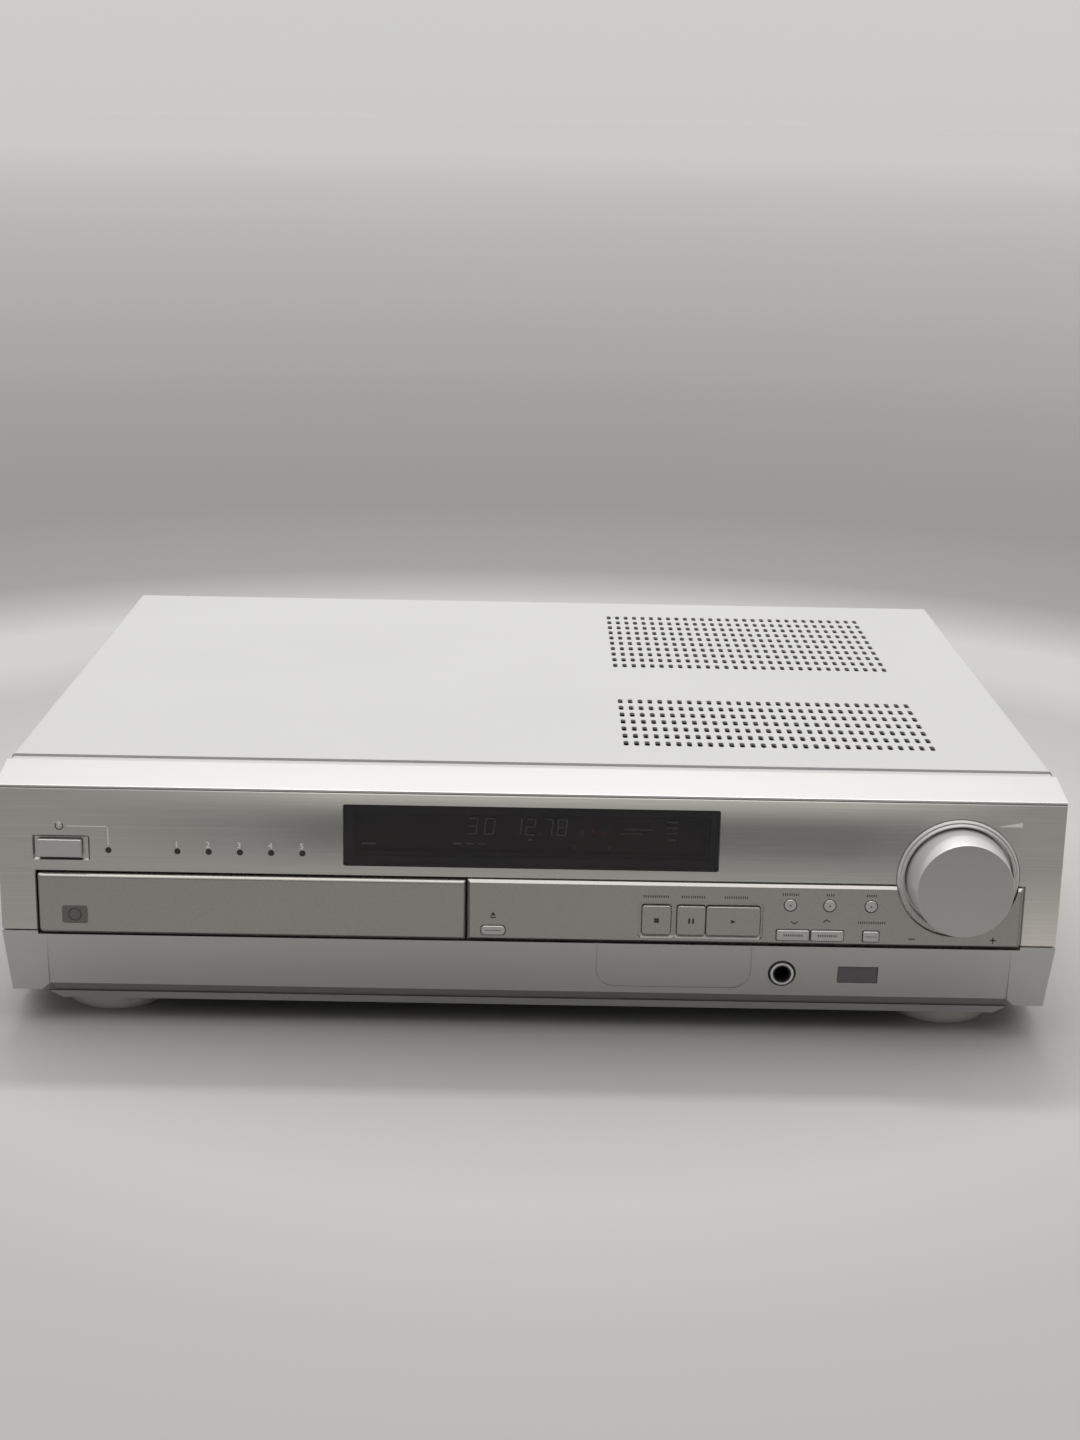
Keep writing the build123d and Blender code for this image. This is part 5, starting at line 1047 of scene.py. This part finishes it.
# Floor: (distance in metres, tone), with painted shade under the object, paler just round it, a darker ring
# of painted light falloff, and paler again far off
floorShadeShape = {
    "reach": 80.0,
    "rampTo": 20.0,
    "tones": (
        (0.0, 0.36), (0.20, 0.37), (0.24, 0.425), (0.31, 0.45), (0.36, 0.44), (0.40, 0.385),
        (0.45, 0.36), (0.52, 0.42), (0.6, 0.48), (0.76, 0.255), (1.1, 0.228), (1.55, 0.268),
        (2.3, 0.338), (3.5, 0.39), (7, 0.45), (14, 0.525), (20, 0.545),
    ),
    "nearTo": 5,
    "nearBlue": 0.965,
    "farBlue": 0.98,
}
floorMade = bmesh.new()
floorCorners = []
for x, y in ((-1, -1), (1, -1), (1, 1), (-1, 1)):
    floorCorners.append(floorMade.verts.new((x * floorShadeShape["reach"], y * floorShadeShape["reach"], 0)))
floorMade.faces.new(floorCorners)
floorMesh = bpy.data.meshes.new("studio_floor")
floorMade.to_mesh(floorMesh)
floorMade.free()
studioFloor = bpy.data.objects.new("studio_floor", floorMesh)
bpy.context.collection.objects.link(studioFloor)
floorPaint = startMaterial("studio_floor", (0.55, 0.55, 0.54), 0.85, Specular_IOR_Level=0.1)
floorTree = floorPaint.node_tree
floorWhere = addNode(floorTree, "ShaderNodeTexCoord")
floorDistance = addNode(floorTree, "ShaderNodeVectorMath", operation="LENGTH")
join(floorTree, floorWhere.outputs["Object"], floorDistance.inputs[0])
floorShare = mathOf(floorTree, "DIVIDE", floorDistance.outputs["Value"], floorShadeShape["rampTo"])
floorShadeStops = []
for distance, tone in floorShadeShape["tones"]:
    blue = floorShadeShape["nearBlue"] if distance < floorShadeShape["nearTo"] else floorShadeShape["farBlue"]
    floorShadeStops.append((distance / floorShadeShape["rampTo"], warmGrey(tone, blue)))
paintWith(floorPaint, rampOf(floorTree, floorShare, floorShadeStops))
floorMesh.materials.append(floorPaint)

# Light: a pale sky, (height from 0 to 1, tone), that brightens overhead and is dim in front, and one soft box
# above and a little behind
skyShape = {
    "tones": ((0.0, 0.60), (0.05, 0.61), (0.13, 0.42), (0.35, 0.55), (0.7, 1.25), (0.95, 2.1)),
    "blue": 0.98,
    "dimFrom": -1.0,
    "dimTo": 0.2,
    "dim": 0.3,
    "strength": 1.0,
}
world = bpy.data.worlds.new("studio")
bpy.context.scene.world = world
world.use_nodes = True
sky = world.node_tree
skyAt = splitOf(sky, "Generated")
skyRise = rampOf(sky, skyAt["Z"], [(z, warmGrey(tone, skyShape["blue"])) for z, tone in skyShape["tones"]])
frontDim = addNode(sky, "ShaderNodeMapRange")
frontDim.inputs["From Min"].default_value = skyShape["dimFrom"]
frontDim.inputs["From Max"].default_value = skyShape["dimTo"]
frontDim.inputs["To Min"].default_value = skyShape["dim"]
join(sky, skyAt["Y"], frontDim.inputs["Value"])
join(sky, multiplyColors(sky, skyRise, frontDim.outputs["Result"]), sky.nodes["Background"].inputs["Color"])
sky.nodes["Background"].inputs["Strength"].default_value = skyShape["strength"]

softBox = {"size": (1.05, 0.14), "power": 10.4, "place": (0.0, 0.65, 1.5), "aim": (0, -0.10, 0.06)}
lamp = bpy.data.lights.new("soft_box", "AREA")
lamp.shape = "RECTANGLE"
lamp.size, lamp.size_y = softBox["size"]
lamp.energy = softBox["power"]
lampHolder = bpy.data.objects.new("soft_box", lamp)
lampHolder.location = softBox["place"]
lampHolder.rotation_mode = "QUATERNION"
lampAlong = Vector(softBox["aim"]) - Vector(softBox["place"])
lampHolder.rotation_quaternion = lampAlong.to_track_quat("-Z", "Y")
lampHolder.visible_camera = False
bpy.context.collection.objects.link(lampHolder)

# Camera at the photograph's viewing angle: places in metres, ahead of the plate and above the cover
cameraShape = {
    "x": -0.0025,
    "ahead": 0.8317,
    "above": 0.25905,
    "yaw": 0.3436,
    "pitch": 15.608,
    "roll": -1.1129,
    "lens": 54.44,
    "sensor": 36,
}
yaw, pitch, roll = (math.radians(cameraShape[key]) for key in ("yaw", "pitch", "roll"))
lookAlong = Vector((math.sin(yaw) * math.cos(pitch), math.cos(yaw) * math.cos(pitch), -math.sin(pitch)))
levelRight = Vector((math.cos(yaw), -math.sin(yaw), 0))
levelDown = lookAlong.cross(levelRight)
tiltedRight = levelRight * math.cos(roll) + levelDown * math.sin(roll)
tiltedUp = levelRight * math.sin(roll) - levelDown * math.cos(roll)
cameraData = bpy.data.cameras.new("camera")
cameraData.lens = cameraShape["lens"]
cameraData.sensor_width = cameraShape["sensor"]
camera = bpy.data.objects.new("camera", cameraData)
cameraPlace = Vector((cameraShape["x"], plateY - cameraShape["ahead"], topZ + cameraShape["above"]))
turned = Matrix((tiltedRight, tiltedUp, -lookAlong)).transposed()
camera.matrix_world = Matrix.Translation(cameraPlace) @ turned.to_4x4()
bpy.context.collection.objects.link(camera)
bpy.context.scene.camera = camera
bpy.context.scene.view_settings.view_transform = "Standard"
print("floor, light and camera set")
